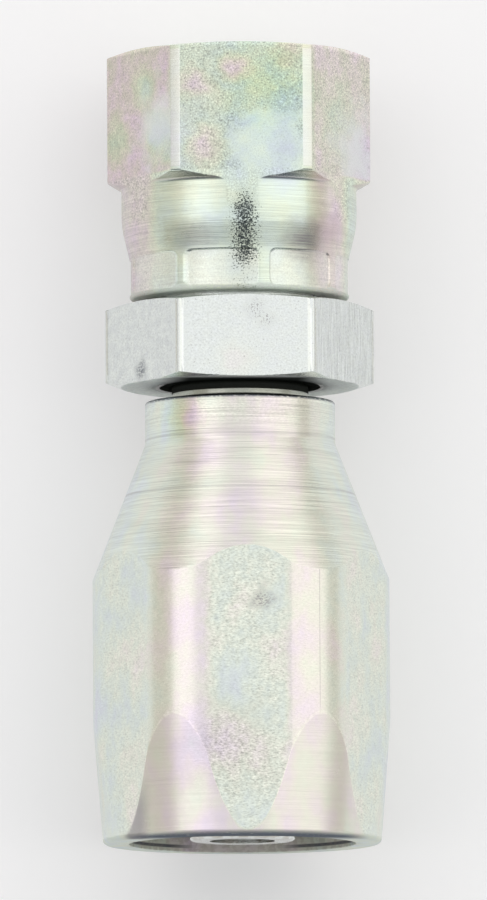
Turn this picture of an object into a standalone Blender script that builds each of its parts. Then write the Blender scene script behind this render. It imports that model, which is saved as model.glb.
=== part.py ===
"""Reusable hydraulic hose fitting: socket, nipple and crimped swivel nut.

The fitting lies on one wrench flat of its socket. Its axis runs along world Y,
with the hose end at -Y and the swivel nut at +Y. The origin is on the ground
below the middle of its length. Every station along the axis is measured from
the hose end.
"""

import math

import bmesh
import bpy
from mathutils import Matrix

MM = 0.001
INCH = 0.0254

# Fits between pieces
CLEARANCE = 0.3 * MM
OVERRUN = 1.0 * MM
TURNING_MARGIN = 0.05 * MM
MERGE = 0.00001

# From the flow bore outwards: tail, hose wall, grip thread and shell
NIPPLE_BORE_RADIUS = 3.1 * MM
TAIL_WALL = 2.35 * MM
HOSE_WALL = 4.45 * MM
GRIP_THREAD_DEPTH = 0.85 * MM
GRIP_PITCH = 3.2 * MM
SOCKET_WALL = 2.5 * MM

# Socket: hexagonal bar with rounded corners, turned at both ends
SOCKET_LENGTH = 42.1 * MM
SOCKET_CORNER_HEIGHT = 0.87 * MM
SOCKET_FLAT_WIDTH = 8.16 * MM
SOCKET_NECK_WALL = 1.75 * MM
SOCKET_NECK_LENGTH = 4.0 * MM
SOCKET_CONE_LENGTH = 13.0 * MM
SOCKET_TAPER_LENGTH = 11.7 * MM
SOCKET_TAPER_DROP = 0.87 * MM
SOCKET_END_ROUND = 0.5 * MM
SOCKET_RIM_EDGE = 0.25 * MM
NECK_FILLET = 0.8 * MM
NECK_BORE_LENGTH = 13.7 * MM
MOUTH_FLARE = 0.9 * MM
MOUTH_DEPTH = 1.5 * MM

# Nipple: neck, threaded part and tail
NECK_STEP = 1.05 * MM
THREAD_STEP = 0.5 * MM
THREAD_INSET = 0.95 * MM
TAIL_CONE_LENGTH = 4.5 * MM
TAIL_SETBACK = 0.3 * MM
TAIL_TIP_TAPER = 2.4 * MM
TAIL_TIP_DROP = 0.4 * MM
TAIL_TIP_ROUND = 0.4 * MM

# Nipple: wrench hexagon
HEX_GAP = 1.45 * MM
NIPPLE_HEX_LENGTH = 7.75 * MM
HEX_CHAMFER_DEG = 13.5

# From the swivel thread inwards: collar, nose, seat and shank
SWIVEL_THREAD_RADIUS = 0.75 * INCH / 2
COLLAR_STEP = 0.7 * MM
NOSE_WALL = 0.7 * MM
COLLAR_SHOULDER = 1.15 * MM
SHANK_LENGTH = 5.65 * MM
COLLAR_LENGTH = 5.2 * MM
NOSE_LENGTH = 2.2 * MM
SEAT_HALF_ANGLE_DEG = 37.0
EDGE_BREAK = 0.25 * MM

# From the swivel thread outwards: the nut's wall and hexagon
NUT_WALL = INCH / 16
NUT_LENGTH = 23.5 * MM
NUT_HEX_LENGTH = 12.2 * MM
NUT_HEX_GAP = 0.6 * MM
NUT_CORNER_TURNING = 0.23 * MM
NUT_FACE_INSET = 0.16 * MM
NUT_FACE_CHAMFER = 0.35 * MM
NUT_SHOULDER_SLOPE = 0.9 * MM
NUT_SHOULDER_FILLET = 0.8 * MM
NUT_SKIRT_STEP = 0.09 * MM
NUT_THREAD_CHAMFER = 0.75 * MM

# Crimped end of the nut's skirt
CRIMP_DEPTH = 0.75 * MM
CRIMP_LENGTH = 3.9 * MM
CRIMP_SLOPE_LENGTH = 3.1 * MM
CRIMP_BLEND_RADIUS = 9.0 * MM
CRIMP_ROOT_RADIUS = 4.0 * MM
SKIRT_END_CHAMFER = 0.35 * MM
CRIMP_MARKS = 8
CRIMP_MARK_ANGLE_DEG = 38.0
CRIMP_CLOCKING_DEG = -10.9
CRIMP_MARK_DEPTH = 0.12 * MM
CRIMP_MARK_LENGTH = 3.25 * MM
CRIMP_MARK_SETBACK = 0.5 * MM
CRIMP_MARK_CORNER = 0.55 * MM

# How far each hexagon is turned from the one the fitting lies on
NIPPLE_CLOCKING_DEG = 0.5
NUT_CLOCKING_DEG = -1.3

# Facets
ROUND_STEPS = 60
BORE_STEPS = 48
THREAD_STEPS = 36
FILLET_STEPS = 4
CORNER_STEPS = 4

# Radii that follow
TAIL_RADIUS = NIPPLE_BORE_RADIUS + TAIL_WALL
GRIP_CREST_RADIUS = TAIL_RADIUS + HOSE_WALL
SOCKET_FLAT_RADIUS = GRIP_CREST_RADIUS + GRIP_THREAD_DEPTH + SOCKET_WALL
SOCKET_BODY_RADIUS = SOCKET_FLAT_RADIUS + SOCKET_CORNER_HEIGHT
NIPPLE_NECK_RADIUS = TAIL_RADIUS + NECK_STEP
NIPPLE_THREAD_RADIUS = NIPPLE_NECK_RADIUS + THREAD_STEP
NECK_BORE_RADIUS = NIPPLE_THREAD_RADIUS + CLEARANCE
SOCKET_NECK_RADIUS = NECK_BORE_RADIUS + SOCKET_NECK_WALL
COLLAR_RADIUS = SWIVEL_THREAD_RADIUS - CLEARANCE
NOSE_RADIUS = COLLAR_RADIUS - COLLAR_STEP
SEAT_MOUTH_RADIUS = NOSE_RADIUS - NOSE_WALL
SHANK_RADIUS = COLLAR_RADIUS - COLLAR_SHOULDER
WRENCH_FLAT_RADIUS = SWIVEL_THREAD_RADIUS + NUT_WALL
WRENCH_CORNER_RADIUS = WRENCH_FLAT_RADIUS / math.cos(math.pi / 6)
NUT_CORNER_RADIUS = WRENCH_CORNER_RADIUS - NUT_CORNER_TURNING
NUT_SKIRT_RADIUS = WRENCH_FLAT_RADIUS + NUT_SKIRT_STEP
CRIMP_RADIUS = NUT_SKIRT_RADIUS - CRIMP_DEPTH

# Stations along the axis that follow, from the hose end
AXIS_HEIGHT = SOCKET_FLAT_RADIUS
NECK_BORE_BACK = SOCKET_LENGTH - NECK_BORE_LENGTH + GRIP_CREST_RADIUS - NECK_BORE_RADIUS
CHAMBER_FRONT = SOCKET_LENGTH - NECK_BORE_LENGTH
NIPPLE_HEX_BACK = SOCKET_LENGTH + HEX_GAP
NIPPLE_HEX_FRONT = NIPPLE_HEX_BACK + NIPPLE_HEX_LENGTH
NUT_BACK = NIPPLE_HEX_FRONT + NUT_HEX_GAP
NUT_FRONT = NUT_BACK + NUT_LENGTH
NUT_SHOULDER = NUT_FRONT - NUT_HEX_LENGTH
SHANK_FRONT = NIPPLE_HEX_FRONT + SHANK_LENGTH
COLLAR_BACK = SHANK_FRONT + COLLAR_SHOULDER
COLLAR_FRONT = COLLAR_BACK + COLLAR_LENGTH
NOSE_FRONT = COLLAR_FRONT + NOSE_LENGTH
OVERALL_LENGTH = NUT_FRONT


def empty_scene():
    for obj in list(bpy.data.objects):
        bpy.data.objects.remove(obj, do_unlink=True)


def new_collection(name):
    collection = bpy.data.collections.new(name)
    bpy.context.scene.collection.children.link(collection)
    return collection


def material(name, colour, roughness):
    finish = bpy.data.materials.new(name)
    finish.use_nodes = True
    shader = finish.node_tree.nodes["Principled BSDF"]
    shader.inputs["Base Color"].default_value = (*colour, 1.0)
    shader.inputs["Roughness"].default_value = roughness
    shader.inputs["Metallic"].default_value = 1.0
    return finish


def add_object(name, mesh, collection, parent):
    """Put a mesh in a collection, in its parent's own frame."""
    obj = bpy.data.objects.new(name, mesh)
    collection.objects.link(obj)
    obj.parent = parent
    return obj


def make_cutter(obj):
    obj.hide_render = True
    obj.display_type = "WIRE"
    return obj


def arc(centre, radius, start_deg, end_deg, steps):
    """Points on an arc in the profile plane, as (radius, station) pairs."""
    points = []
    for step in range(steps + 1):
        angle = math.radians(start_deg + (end_deg - start_deg) * step / steps)
        points.append((centre[0] + radius * math.cos(angle), centre[1] + radius * math.sin(angle)))
    return points


def round_corner(before, corner, after, radius, steps=FILLET_STEPS):
    """Replace a corner of a profile with an arc that touches both of its sides.

    The radius is limited by the shorter side, so that a fillet never runs past a wall.
    """
    to_before = (before[0] - corner[0], before[1] - corner[1])
    to_after = (after[0] - corner[0], after[1] - corner[1])
    length_before = math.hypot(*to_before)
    length_after = math.hypot(*to_after)
    unit_before = (to_before[0] / length_before, to_before[1] / length_before)
    unit_after = (to_after[0] / length_after, to_after[1] / length_after)
    half_angle = math.acos(unit_before[0] * unit_after[0] + unit_before[1] * unit_after[1]) / 2
    longest = 0.48 * min(length_before, length_after)
    tangent = min(radius / math.tan(half_angle), longest)
    radius = tangent * math.tan(half_angle)
    bisector = (unit_before[0] + unit_after[0], unit_before[1] + unit_after[1])
    reach = radius / math.sin(half_angle) / math.hypot(*bisector)
    centre = (corner[0] + bisector[0] * reach, corner[1] + bisector[1] * reach)
    start = (corner[0] + unit_before[0] * tangent, corner[1] + unit_before[1] * tangent)
    end = (corner[0] + unit_after[0] * tangent, corner[1] + unit_after[1] * tangent)
    start_deg = math.degrees(math.atan2(start[1] - centre[1], start[0] - centre[0]))
    end_deg = math.degrees(math.atan2(end[1] - centre[1], end[0] - centre[0]))
    turn = (end_deg - start_deg + 180.0) % 360.0 - 180.0
    return arc(centre, radius, start_deg, start_deg + turn, steps)


def turned(name, profile, collection, parent, steps):
    """Turn a profile about the parent's Z axis, from its front end down to its back end."""
    mesh = bpy.data.meshes.new(name)
    vertices = [(radius, 0.0, station) for radius, station in profile]
    edges = [(index, index + 1) for index in range(len(profile) - 1)]
    mesh.from_pydata(vertices, edges, [])
    obj = add_object(name, mesh, collection, parent)
    screw = obj.modifiers.new("Turn", "SCREW")
    screw.axis = "Z"
    screw.angle = math.tau
    screw.steps = steps
    screw.render_steps = steps
    screw.use_merge_vertices = True
    screw.merge_threshold = MERGE
    screw.use_smooth_shade = True
    return obj


def boolean(obj, cutter, operation):
    modifier = obj.modifiers.new(cutter.name, "BOOLEAN")
    modifier.operation = operation
    modifier.solver = "EXACT"
    modifier.object = cutter


def hexagon_bar(name, flat_radius, start, end, collection, parent):
    """Hexagonal bar stock along the axis, with two flats facing up and down."""
    mesh = bpy.data.meshes.new(name)
    bm = bmesh.new()
    corner_radius = flat_radius / math.cos(math.pi / 6)
    bmesh.ops.create_cone(bm, cap_ends=True, segments=6, radius1=corner_radius,
                          radius2=corner_radius, depth=end - start)
    bmesh.ops.rotate(bm, verts=bm.verts, matrix=Matrix.Rotation(math.pi / 6, 3, "Z"))
    bmesh.ops.translate(bm, verts=bm.verts, vec=(0.0, 0.0, (start + end) / 2))
    bm.to_mesh(mesh)
    bm.free()
    return make_cutter(add_object(name, mesh, collection, parent))


def rounded_bar(name, flat_radius, flat_width, corner_radius, start, end, collection, parent):
    """Hexagonal bar with rounded corners, with two flats facing up and down.

    Each rounding is the arc through a corner's highest point and the edges of the flats beside it.
    """
    edge_radius = math.hypot(flat_radius, flat_width / 2)
    edge_angle = math.pi / 6 - math.atan2(flat_width / 2, flat_radius)
    half_chord = edge_radius * math.sin(edge_angle)
    rise = corner_radius - edge_radius * math.cos(edge_angle)
    rounding = (half_chord ** 2 + rise ** 2) / (2 * rise)
    half_turn = math.asin(half_chord / rounding)
    corner = [(corner_radius - rounding + rounding * math.cos(half_turn * step / CORNER_STEPS),
               rounding * math.sin(half_turn * step / CORNER_STEPS), start)
              for step in range(-CORNER_STEPS, CORNER_STEPS + 1)]
    mesh = bpy.data.meshes.new(name)
    bm = bmesh.new()
    for turn in range(6):
        vertices = [bm.verts.new(point) for point in corner]
        bmesh.ops.rotate(bm, verts=vertices, matrix=Matrix.Rotation(math.pi / 3 * turn, 3, "Z"))
    outline = bm.faces.new(bm.verts)
    swept = bmesh.ops.extrude_face_region(bm, geom=[outline])["geom"]
    far_end = [item for item in swept if isinstance(item, bmesh.types.BMVert)]
    bmesh.ops.translate(bm, verts=far_end, vec=(0.0, 0.0, end - start))
    bmesh.ops.recalc_face_normals(bm, faces=bm.faces)
    bm.to_mesh(mesh)
    bm.free()
    return make_cutter(add_object(name, mesh, collection, parent))


def thread_plug(name, crest_radius, depth, pitch, start, end, left_hand, collection, parent):
    """A solid plug in the form of the thread, for cutting a threaded hole.

    The thread's form runs down the side of the profile, and one full turn of the
    Screw modifier lifts it by one pitch, so each thread meets the next one. What
    stays open is one flat step at each end.
    """
    root_radius = crest_radius + depth
    turns = max(2, math.ceil((end - start) / pitch))
    profile = [(0.0, end), (crest_radius, end)]
    for turn in range(turns):
        top = end - turn * pitch
        profile.append((crest_radius, top - 0.30 * pitch))
        profile.append((root_radius, top - 0.42 * pitch))
        profile.append((root_radius, top - 0.78 * pitch))
        profile.append((crest_radius, top - pitch))
    profile.append((0.0, end - turns * pitch))
    plug = turned(name, profile, collection, parent, THREAD_STEPS)
    plug.modifiers["Turn"].screw_offset = -pitch if left_hand else pitch
    plug.modifiers["Turn"].use_merge_vertices = False

    bpy.context.view_layer.update()
    graph = bpy.context.evaluated_depsgraph_get()
    mesh = bpy.data.meshes.new_from_object(plug.evaluated_get(graph))
    plug.modifiers.clear()
    plug.data = mesh
    bm = bmesh.new()
    bm.from_mesh(mesh)
    bmesh.ops.remove_doubles(bm, verts=bm.verts, dist=MERGE)
    open_edges = [edge for edge in bm.edges if edge.is_boundary]
    bmesh.ops.holes_fill(bm, edges=open_edges, sides=0)
    bmesh.ops.recalc_face_normals(bm, faces=bm.faces)
    bm.to_mesh(mesh)
    bm.free()
    return make_cutter(plug)


def crimp_dies(name, collection, parent):
    """The ring of die faces that pressed the skirt, as curved blocks with round corners."""
    mesh = bpy.data.meshes.new(name)
    bm = bmesh.new()
    floor_radius = CRIMP_RADIUS - CRIMP_MARK_DEPTH
    outer_radius = NUT_SKIRT_RADIUS + OVERRUN
    back = NUT_BACK + CRIMP_MARK_SETBACK
    front = back + CRIMP_MARK_LENGTH
    sweep = math.radians(CRIMP_MARK_ANGLE_DEG)
    top_flat = -math.pi / 2
    corners = [(floor_radius, back), (outer_radius, back), (outer_radius, front), (floor_radius, front)]
    for mark in range(CRIMP_MARKS):
        middle = top_flat + math.radians(CRIMP_CLOCKING_DEG) + math.tau * mark / CRIMP_MARKS
        vertices = [bm.verts.new((radius, 0.0, station)) for radius, station in corners]
        face = bm.faces.new(vertices)
        bmesh.ops.rotate(bm, verts=vertices, matrix=Matrix.Rotation(middle - sweep / 2, 3, "Z"))
        bmesh.ops.spin(bm, geom=[face], angle=sweep, steps=6, axis=(0.0, 0.0, 1.0))
    bmesh.ops.recalc_face_normals(bm, faces=bm.faces)
    corner_edges = [edge for edge in bm.edges if is_die_corner(edge)]
    bmesh.ops.bevel(bm, geom=corner_edges, offset=CRIMP_MARK_CORNER, segments=2, profile=0.5,
                    affect="EDGES")
    bm.to_mesh(mesh)
    bm.free()
    return make_cutter(add_object(name, mesh, collection, parent))


def is_die_corner(edge):
    """True for the straight edges at a die's ends, which point away from the axis."""
    first, second = (vertex.co for vertex in edge.verts)
    same_station = abs(first.z - second.z) < MERGE
    runs_outwards = abs(first.xy.length - second.xy.length) > MERGE
    sharp = len(edge.link_faces) == 2 and edge.calc_face_angle() > math.radians(60)
    return same_station and runs_outwards and sharp


def make_socket(parts, cutters, axis):
    """Hexagonal shell: neck, cone, full bar and a light taper to the hose end."""
    end_radius = SOCKET_BODY_RADIUS - SOCKET_TAPER_DROP
    cone_front = SOCKET_LENGTH - SOCKET_NECK_LENGTH
    cone_slope = (SOCKET_BODY_RADIUS - SOCKET_NECK_RADIUS) / SOCKET_CONE_LENGTH
    taper_slope = SOCKET_TAPER_DROP / SOCKET_TAPER_LENGTH
    # Between cone and taper the profile stands a little proud, so that the bar alone shapes it
    body_radius = SOCKET_BODY_RADIUS + TURNING_MARGIN
    cone_back = cone_front - SOCKET_CONE_LENGTH - TURNING_MARGIN / cone_slope
    taper_front = SOCKET_TAPER_LENGTH + TURNING_MARGIN / taper_slope
    neck_foot = (SOCKET_NECK_RADIUS, cone_front)
    body_front = (body_radius, cone_back)
    rim = (SOCKET_NECK_RADIUS, SOCKET_LENGTH - SOCKET_RIM_EDGE)
    end_centre = (end_radius - SOCKET_END_ROUND, SOCKET_END_ROUND)
    profile = [(0.0, SOCKET_LENGTH), (SOCKET_NECK_RADIUS - SOCKET_RIM_EDGE, SOCKET_LENGTH), rim]
    profile += round_corner(rim, neck_foot, body_front, NECK_FILLET)
    profile += [body_front, (body_radius, taper_front)]
    profile += arc(end_centre, SOCKET_END_ROUND, 0.0, -90.0, FILLET_STEPS)
    profile += [(0.0, 0.0)]
    socket = turned("socket", profile, parts, axis, ROUND_STEPS)

    bar = rounded_bar("socket_bar", SOCKET_FLAT_RADIUS, SOCKET_FLAT_WIDTH, SOCKET_BODY_RADIUS,
                      -OVERRUN, SOCKET_LENGTH + OVERRUN, cutters, socket)
    boolean(socket, bar, "INTERSECT")

    # The thread runs out in a groove one pitch long, deeper than the thread, with sloped sides
    groove_depth = GRIP_THREAD_DEPTH + CLEARANCE
    groove_radius = GRIP_CREST_RADIUS + groove_depth
    groove_front = CHAMBER_FRONT - groove_depth
    groove_back = groove_front - GRIP_PITCH - 2 * CLEARANCE
    inner_radius = GRIP_CREST_RADIUS - OVERRUN
    bore_back = groove_back - (groove_radius - inner_radius)
    bore_profile = [
        (0.0, SOCKET_LENGTH + OVERRUN),
        (NECK_BORE_RADIUS + THREAD_STEP + OVERRUN, SOCKET_LENGTH + OVERRUN),
        (NECK_BORE_RADIUS, SOCKET_LENGTH - THREAD_STEP),
        (NECK_BORE_RADIUS, NECK_BORE_BACK),
        (GRIP_CREST_RADIUS, CHAMBER_FRONT),
        (groove_radius, groove_front),
        (groove_radius, groove_back),
        (inner_radius, bore_back),
        (0.0, bore_back),
    ]
    bore = make_cutter(turned("socket_bore", bore_profile, cutters, socket, BORE_STEPS))
    boolean(socket, bore, "DIFFERENCE")

    grip = thread_plug("socket_grip_thread", GRIP_CREST_RADIUS, GRIP_THREAD_DEPTH, GRIP_PITCH,
                       -OVERRUN, groove_front - CLEARANCE, True, cutters, socket)
    boolean(socket, grip, "DIFFERENCE")

    mouth_radius = GRIP_CREST_RADIUS + MOUTH_FLARE
    mouth_slope = MOUTH_FLARE / MOUTH_DEPTH
    mouth_profile = [
        (0.0, MOUTH_DEPTH + OVERRUN),
        (GRIP_CREST_RADIUS - OVERRUN * mouth_slope, MOUTH_DEPTH + OVERRUN),
        (mouth_radius, 0.0),
        (mouth_radius, -OVERRUN),
        (0.0, -OVERRUN),
    ]
    mouth = make_cutter(turned("socket_mouth", mouth_profile, cutters, socket, BORE_STEPS))
    boolean(socket, mouth, "DIFFERENCE")
    return socket


def make_nipple(parts, cutters, axis):
    """Wrench hexagon with the tail below it and the nut's collar and seat above it."""
    # The turned corners stand a little proud of the bar, so that the bar alone shapes them
    corner_radius = WRENCH_CORNER_RADIUS + TURNING_MARGIN
    chamfer = (corner_radius - WRENCH_FLAT_RADIUS) * math.tan(math.radians(HEX_CHAMFER_DEG))
    neck_back = SOCKET_LENGTH - THREAD_INSET
    tail_front = NECK_BORE_BACK - TAIL_CONE_LENGTH
    tip_radius = TAIL_RADIUS - TAIL_TIP_DROP
    profile = [
        (0.0, NOSE_FRONT),
        (NOSE_RADIUS - EDGE_BREAK, NOSE_FRONT),
        (NOSE_RADIUS, NOSE_FRONT - EDGE_BREAK),
        (NOSE_RADIUS, COLLAR_FRONT),
        (COLLAR_RADIUS - EDGE_BREAK, COLLAR_FRONT),
        (COLLAR_RADIUS, COLLAR_FRONT - EDGE_BREAK),
        (COLLAR_RADIUS, COLLAR_BACK),
        (SHANK_RADIUS, SHANK_FRONT),
        (SHANK_RADIUS, NIPPLE_HEX_FRONT),
        (WRENCH_FLAT_RADIUS, NIPPLE_HEX_FRONT),
        (corner_radius, NIPPLE_HEX_FRONT - chamfer),
        (corner_radius, NIPPLE_HEX_BACK + chamfer),
        (WRENCH_FLAT_RADIUS, NIPPLE_HEX_BACK),
        (NIPPLE_NECK_RADIUS, NIPPLE_HEX_BACK),
        (NIPPLE_NECK_RADIUS, neck_back),
        (NIPPLE_THREAD_RADIUS, neck_back - THREAD_STEP),
        (NIPPLE_THREAD_RADIUS, NECK_BORE_BACK + THREAD_STEP),
        (NIPPLE_NECK_RADIUS, NECK_BORE_BACK),
        (TAIL_RADIUS, tail_front),
        (TAIL_RADIUS, TAIL_SETBACK + TAIL_TIP_TAPER),
        (tip_radius, TAIL_SETBACK + TAIL_TIP_ROUND),
        (tip_radius - TAIL_TIP_ROUND, TAIL_SETBACK),
        (0.0, TAIL_SETBACK),
    ]
    nipple = turned("nipple", profile, parts, axis, ROUND_STEPS)
    nipple.rotation_euler.z = math.radians(NIPPLE_CLOCKING_DEG)
    bar = hexagon_bar("nipple_bar", WRENCH_FLAT_RADIUS, -OVERRUN, NOSE_FRONT + OVERRUN, cutters, nipple)
    boolean(nipple, bar, "INTERSECT")

    seat_slope = math.tan(math.radians(SEAT_HALF_ANGLE_DEG))
    seat_depth = (SEAT_MOUTH_RADIUS - NIPPLE_BORE_RADIUS) / seat_slope
    bore_profile = [
        (0.0, NOSE_FRONT + OVERRUN),
        (SEAT_MOUTH_RADIUS + OVERRUN * seat_slope, NOSE_FRONT + OVERRUN),
        (NIPPLE_BORE_RADIUS, NOSE_FRONT - seat_depth),
        (NIPPLE_BORE_RADIUS, TAIL_SETBACK - OVERRUN),
        (0.0, TAIL_SETBACK - OVERRUN),
    ]
    bore = make_cutter(turned("nipple_bore", bore_profile, cutters, nipple, BORE_STEPS))
    boolean(nipple, bore, "DIFFERENCE")
    return nipple


def make_swivel_nut(parts, cutters, axis):
    """Hexagonal nut whose turned skirt is pressed in behind the nipple's collar."""
    skirt_front = (NUT_SKIRT_RADIUS, NUT_SHOULDER - NUT_SHOULDER_SLOPE)
    hexagon_back = (NUT_CORNER_RADIUS - EDGE_BREAK, NUT_SHOULDER)
    slope_back = (CRIMP_RADIUS, NUT_BACK + CRIMP_LENGTH)
    slope_front = (NUT_SKIRT_RADIUS, NUT_BACK + CRIMP_LENGTH + CRIMP_SLOPE_LENGTH)
    skirt_end = (CRIMP_RADIUS, NUT_BACK + SKIRT_END_CHAMFER)
    profile = [
        (0.0, NUT_FRONT),
        (WRENCH_FLAT_RADIUS - NUT_FACE_INSET, NUT_FRONT),
        (NUT_CORNER_RADIUS, NUT_FRONT - NUT_FACE_CHAMFER),
        (NUT_CORNER_RADIUS, NUT_SHOULDER + EDGE_BREAK),
        hexagon_back,
    ]
    profile += round_corner(hexagon_back, skirt_front, slope_front, NUT_SHOULDER_FILLET)
    profile += round_corner(skirt_front, slope_front, slope_back, CRIMP_BLEND_RADIUS)
    profile += round_corner(slope_front, slope_back, skirt_end, CRIMP_ROOT_RADIUS)
    profile += [skirt_end, (CRIMP_RADIUS - SKIRT_END_CHAMFER, NUT_BACK), (0.0, NUT_BACK)]
    nut = turned("swivel_nut", profile, parts, axis, ROUND_STEPS)
    nut.rotation_euler.z = math.radians(NUT_CLOCKING_DEG)
    bar = hexagon_bar("nut_bar", WRENCH_FLAT_RADIUS, NUT_BACK - OVERRUN, NUT_FRONT + OVERRUN, cutters, nut)
    boolean(nut, bar, "INTERSECT")
    dies = crimp_dies("nut_crimp_dies", cutters, nut)
    boolean(nut, dies, "DIFFERENCE")

    lip_radius = SHANK_RADIUS + CLEARANCE
    # The lip's slope is parallel to the collar's back, one clearance away from it
    lip_front = COLLAR_BACK + (lip_radius - COLLAR_RADIUS) - CLEARANCE * math.sqrt(2)
    slope_rise = SWIVEL_THREAD_RADIUS - lip_radius
    bore_profile = [
        (0.0, NUT_FRONT + OVERRUN),
        (SWIVEL_THREAD_RADIUS + NUT_THREAD_CHAMFER + OVERRUN, NUT_FRONT + OVERRUN),
        (SWIVEL_THREAD_RADIUS, NUT_FRONT - NUT_THREAD_CHAMFER),
        (SWIVEL_THREAD_RADIUS, lip_front + slope_rise),
        (lip_radius, lip_front),
        (lip_radius, NUT_BACK - OVERRUN),
        (0.0, NUT_BACK - OVERRUN),
    ]
    bore = make_cutter(turned("nut_bore", bore_profile, cutters, nut, BORE_STEPS))
    boolean(nut, bore, "DIFFERENCE")
    return nut


def main():
    empty_scene()
    parts = new_collection("hose_fitting")
    cutters = new_collection("cutters")
    axis = add_object("fitting_axis", None, parts, None)
    axis.location = (0.0, -OVERALL_LENGTH / 2, AXIS_HEIGHT)
    axis.rotation_euler.x = -math.pi / 2

    socket = make_socket(parts, cutters, axis)
    nipple = make_nipple(parts, cutters, axis)
    nut = make_swivel_nut(parts, cutters, axis)
    socket.data.materials.append(material("socket_zinc", (0.80, 0.81, 0.79), 0.32))
    nipple.data.materials.append(material("nipple_zinc", (0.84, 0.87, 0.85), 0.36))
    nut.data.materials.append(material("nut_zinc", (0.78, 0.77, 0.76), 0.36))


main()
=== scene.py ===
# %% [markdown]
# # A screw-together hose fitting in zinc-plated steel
#
# The fitting is three turned pieces: a hexagonal socket that grips the hose, a nipple
# that screws into the socket and reaches inside the hose, and a swivel nut whose skirt is
# pressed in behind the nipple's collar. All three are plated with zinc and dipped in a
# clear chromate, a film so thin that light colours it pink, green and yellow.
#
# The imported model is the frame: it says where each piece is and how it moves. This lesson
# makes the fine surface around it and never moves it.

# %% Load the frame
import math

import bmesh
import bpy
from mathutils import Matrix, Vector


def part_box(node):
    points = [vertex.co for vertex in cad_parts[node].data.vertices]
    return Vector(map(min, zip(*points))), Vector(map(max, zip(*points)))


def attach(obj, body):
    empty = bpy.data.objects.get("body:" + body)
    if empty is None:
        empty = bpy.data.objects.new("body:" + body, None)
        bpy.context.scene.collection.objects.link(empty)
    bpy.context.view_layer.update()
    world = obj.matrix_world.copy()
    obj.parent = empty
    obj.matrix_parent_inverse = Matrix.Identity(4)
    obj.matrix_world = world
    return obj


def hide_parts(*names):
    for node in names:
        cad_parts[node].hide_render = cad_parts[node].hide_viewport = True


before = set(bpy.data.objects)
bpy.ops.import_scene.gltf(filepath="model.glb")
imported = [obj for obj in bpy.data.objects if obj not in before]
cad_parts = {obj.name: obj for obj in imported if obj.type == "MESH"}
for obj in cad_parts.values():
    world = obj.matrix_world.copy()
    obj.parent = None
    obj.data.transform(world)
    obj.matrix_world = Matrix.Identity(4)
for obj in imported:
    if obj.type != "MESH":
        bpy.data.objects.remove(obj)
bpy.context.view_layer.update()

# %% [markdown]
# ## Sizes
#
# A turned piece is easiest to describe along its own axis, as radii and stations. A
# station is the distance from the hose end. The frame gives the ends, the height of the
# axis and the size of the socket's bar. The steps between them repeat the model's sizes,
# so that each piece keeps the form of the CAD node that it stands for.

# %% Sizes that the frame gives
MM = 0.001
INCH = 0.0254

socket_low, socket_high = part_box("socket")
nipple_low, nipple_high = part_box("nipple")
nut_low, nut_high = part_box("swivel_nut")
HOSE_END = socket_low.y
AXIS_HEIGHT = (socket_low.z + socket_high.z) / 2
SOCKET_FLAT_RADIUS = AXIS_HEIGHT
SOCKET_CORNER_RADIUS = socket_high.x
SOCKET_LENGTH = socket_high.y - HOSE_END
TAIL_BACK = nipple_low.y - HOSE_END
NOSE_FRONT = nipple_high.y - HOSE_END
NUT_BACK = nut_low.y - HOSE_END
NUT_FRONT = nut_high.y - HOSE_END
print(f"axis {AXIS_HEIGHT / MM:.2f} mm high, socket {SOCKET_LENGTH / MM:.1f} mm, "
      f"whole {NUT_FRONT / MM:.1f} mm long")

# %% The 7/8 inch hexagon that the nipple and the nut share
HALF_SECTOR = math.pi / 6    # from the middle of a flat to a corner
WRENCH_FLAT_RADIUS = 0.875 * INCH / 2
WRENCH_CORNER_RADIUS = WRENCH_FLAT_RADIUS / math.cos(HALF_SECTOR)

# %% Sizes of the socket
SOCKET_FLAT_WIDTH = 8.16 * MM
SOCKET_NECK_RADIUS = 9.05 * MM
SOCKET_NECK_LENGTH = 4.0 * MM
SOCKET_CONE_LENGTH = 13.0 * MM
SOCKET_TAPER_LENGTH = 11.7 * MM
SOCKET_TAPER_DROP = 0.87 * MM
SOCKET_END_ROUND = 0.5 * MM
NECK_FILLET = 0.8 * MM
EDGE_BREAK = 0.25 * MM
TURNING_MARGIN = 0.05 * MM
GRIP_CREST_RADIUS = 9.9 * MM
GRIP_ROOT_RADIUS = 10.75 * MM
GRIP_PITCH = 3.2 * MM
GROOVE_RADIUS = 11.05 * MM
GROOVE_BACK = 23.45 * MM
GROOVE_FRONT = 27.25 * MM
CHAMBER_FRONT = 28.4 * MM
NECK_BORE_BACK = 31.0 * MM
NECK_BORE_RADIUS = 7.3 * MM
NECK_BORE_FLARE = 0.5 * MM
MOUTH_RADIUS = 10.8 * MM

# %% Sizes of the nipple
NIPPLE_BORE_RADIUS = 3.1 * MM
TAIL_RADIUS = 5.45 * MM
TAIL_TIP_RADIUS = 5.05 * MM
TAIL_TIP_ROUND = 0.4 * MM
TAIL_TIP_TAPER = 2.4 * MM
TAIL_CONE_BACK = 26.5 * MM
NIPPLE_NECK_RADIUS = 6.5 * MM
NIPPLE_THREAD_RADIUS = 7.0 * MM
NIPPLE_THREAD_FRONT = 40.65 * MM
NIPPLE_HEX_BACK = 43.55 * MM
NIPPLE_HEX_FRONT = 51.3 * MM
NIPPLE_FLAT_WIDTH = 12.6 * MM
NIPPLE_CORNER_RADIUS = 12.8 * MM
NIPPLE_CHAMFER_DEG = 13.5
NIPPLE_CLOCKING_DEG = 0.5
SHANK_RADIUS = 8.075 * MM
SHANK_FRONT = 56.95 * MM
COLLAR_RADIUS = 9.225 * MM
COLLAR_BACK = 58.1 * MM
COLLAR_FRONT = 63.3 * MM
NOSE_RADIUS = 8.525 * MM
SEAT_MOUTH_RADIUS = 7.825 * MM
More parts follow.
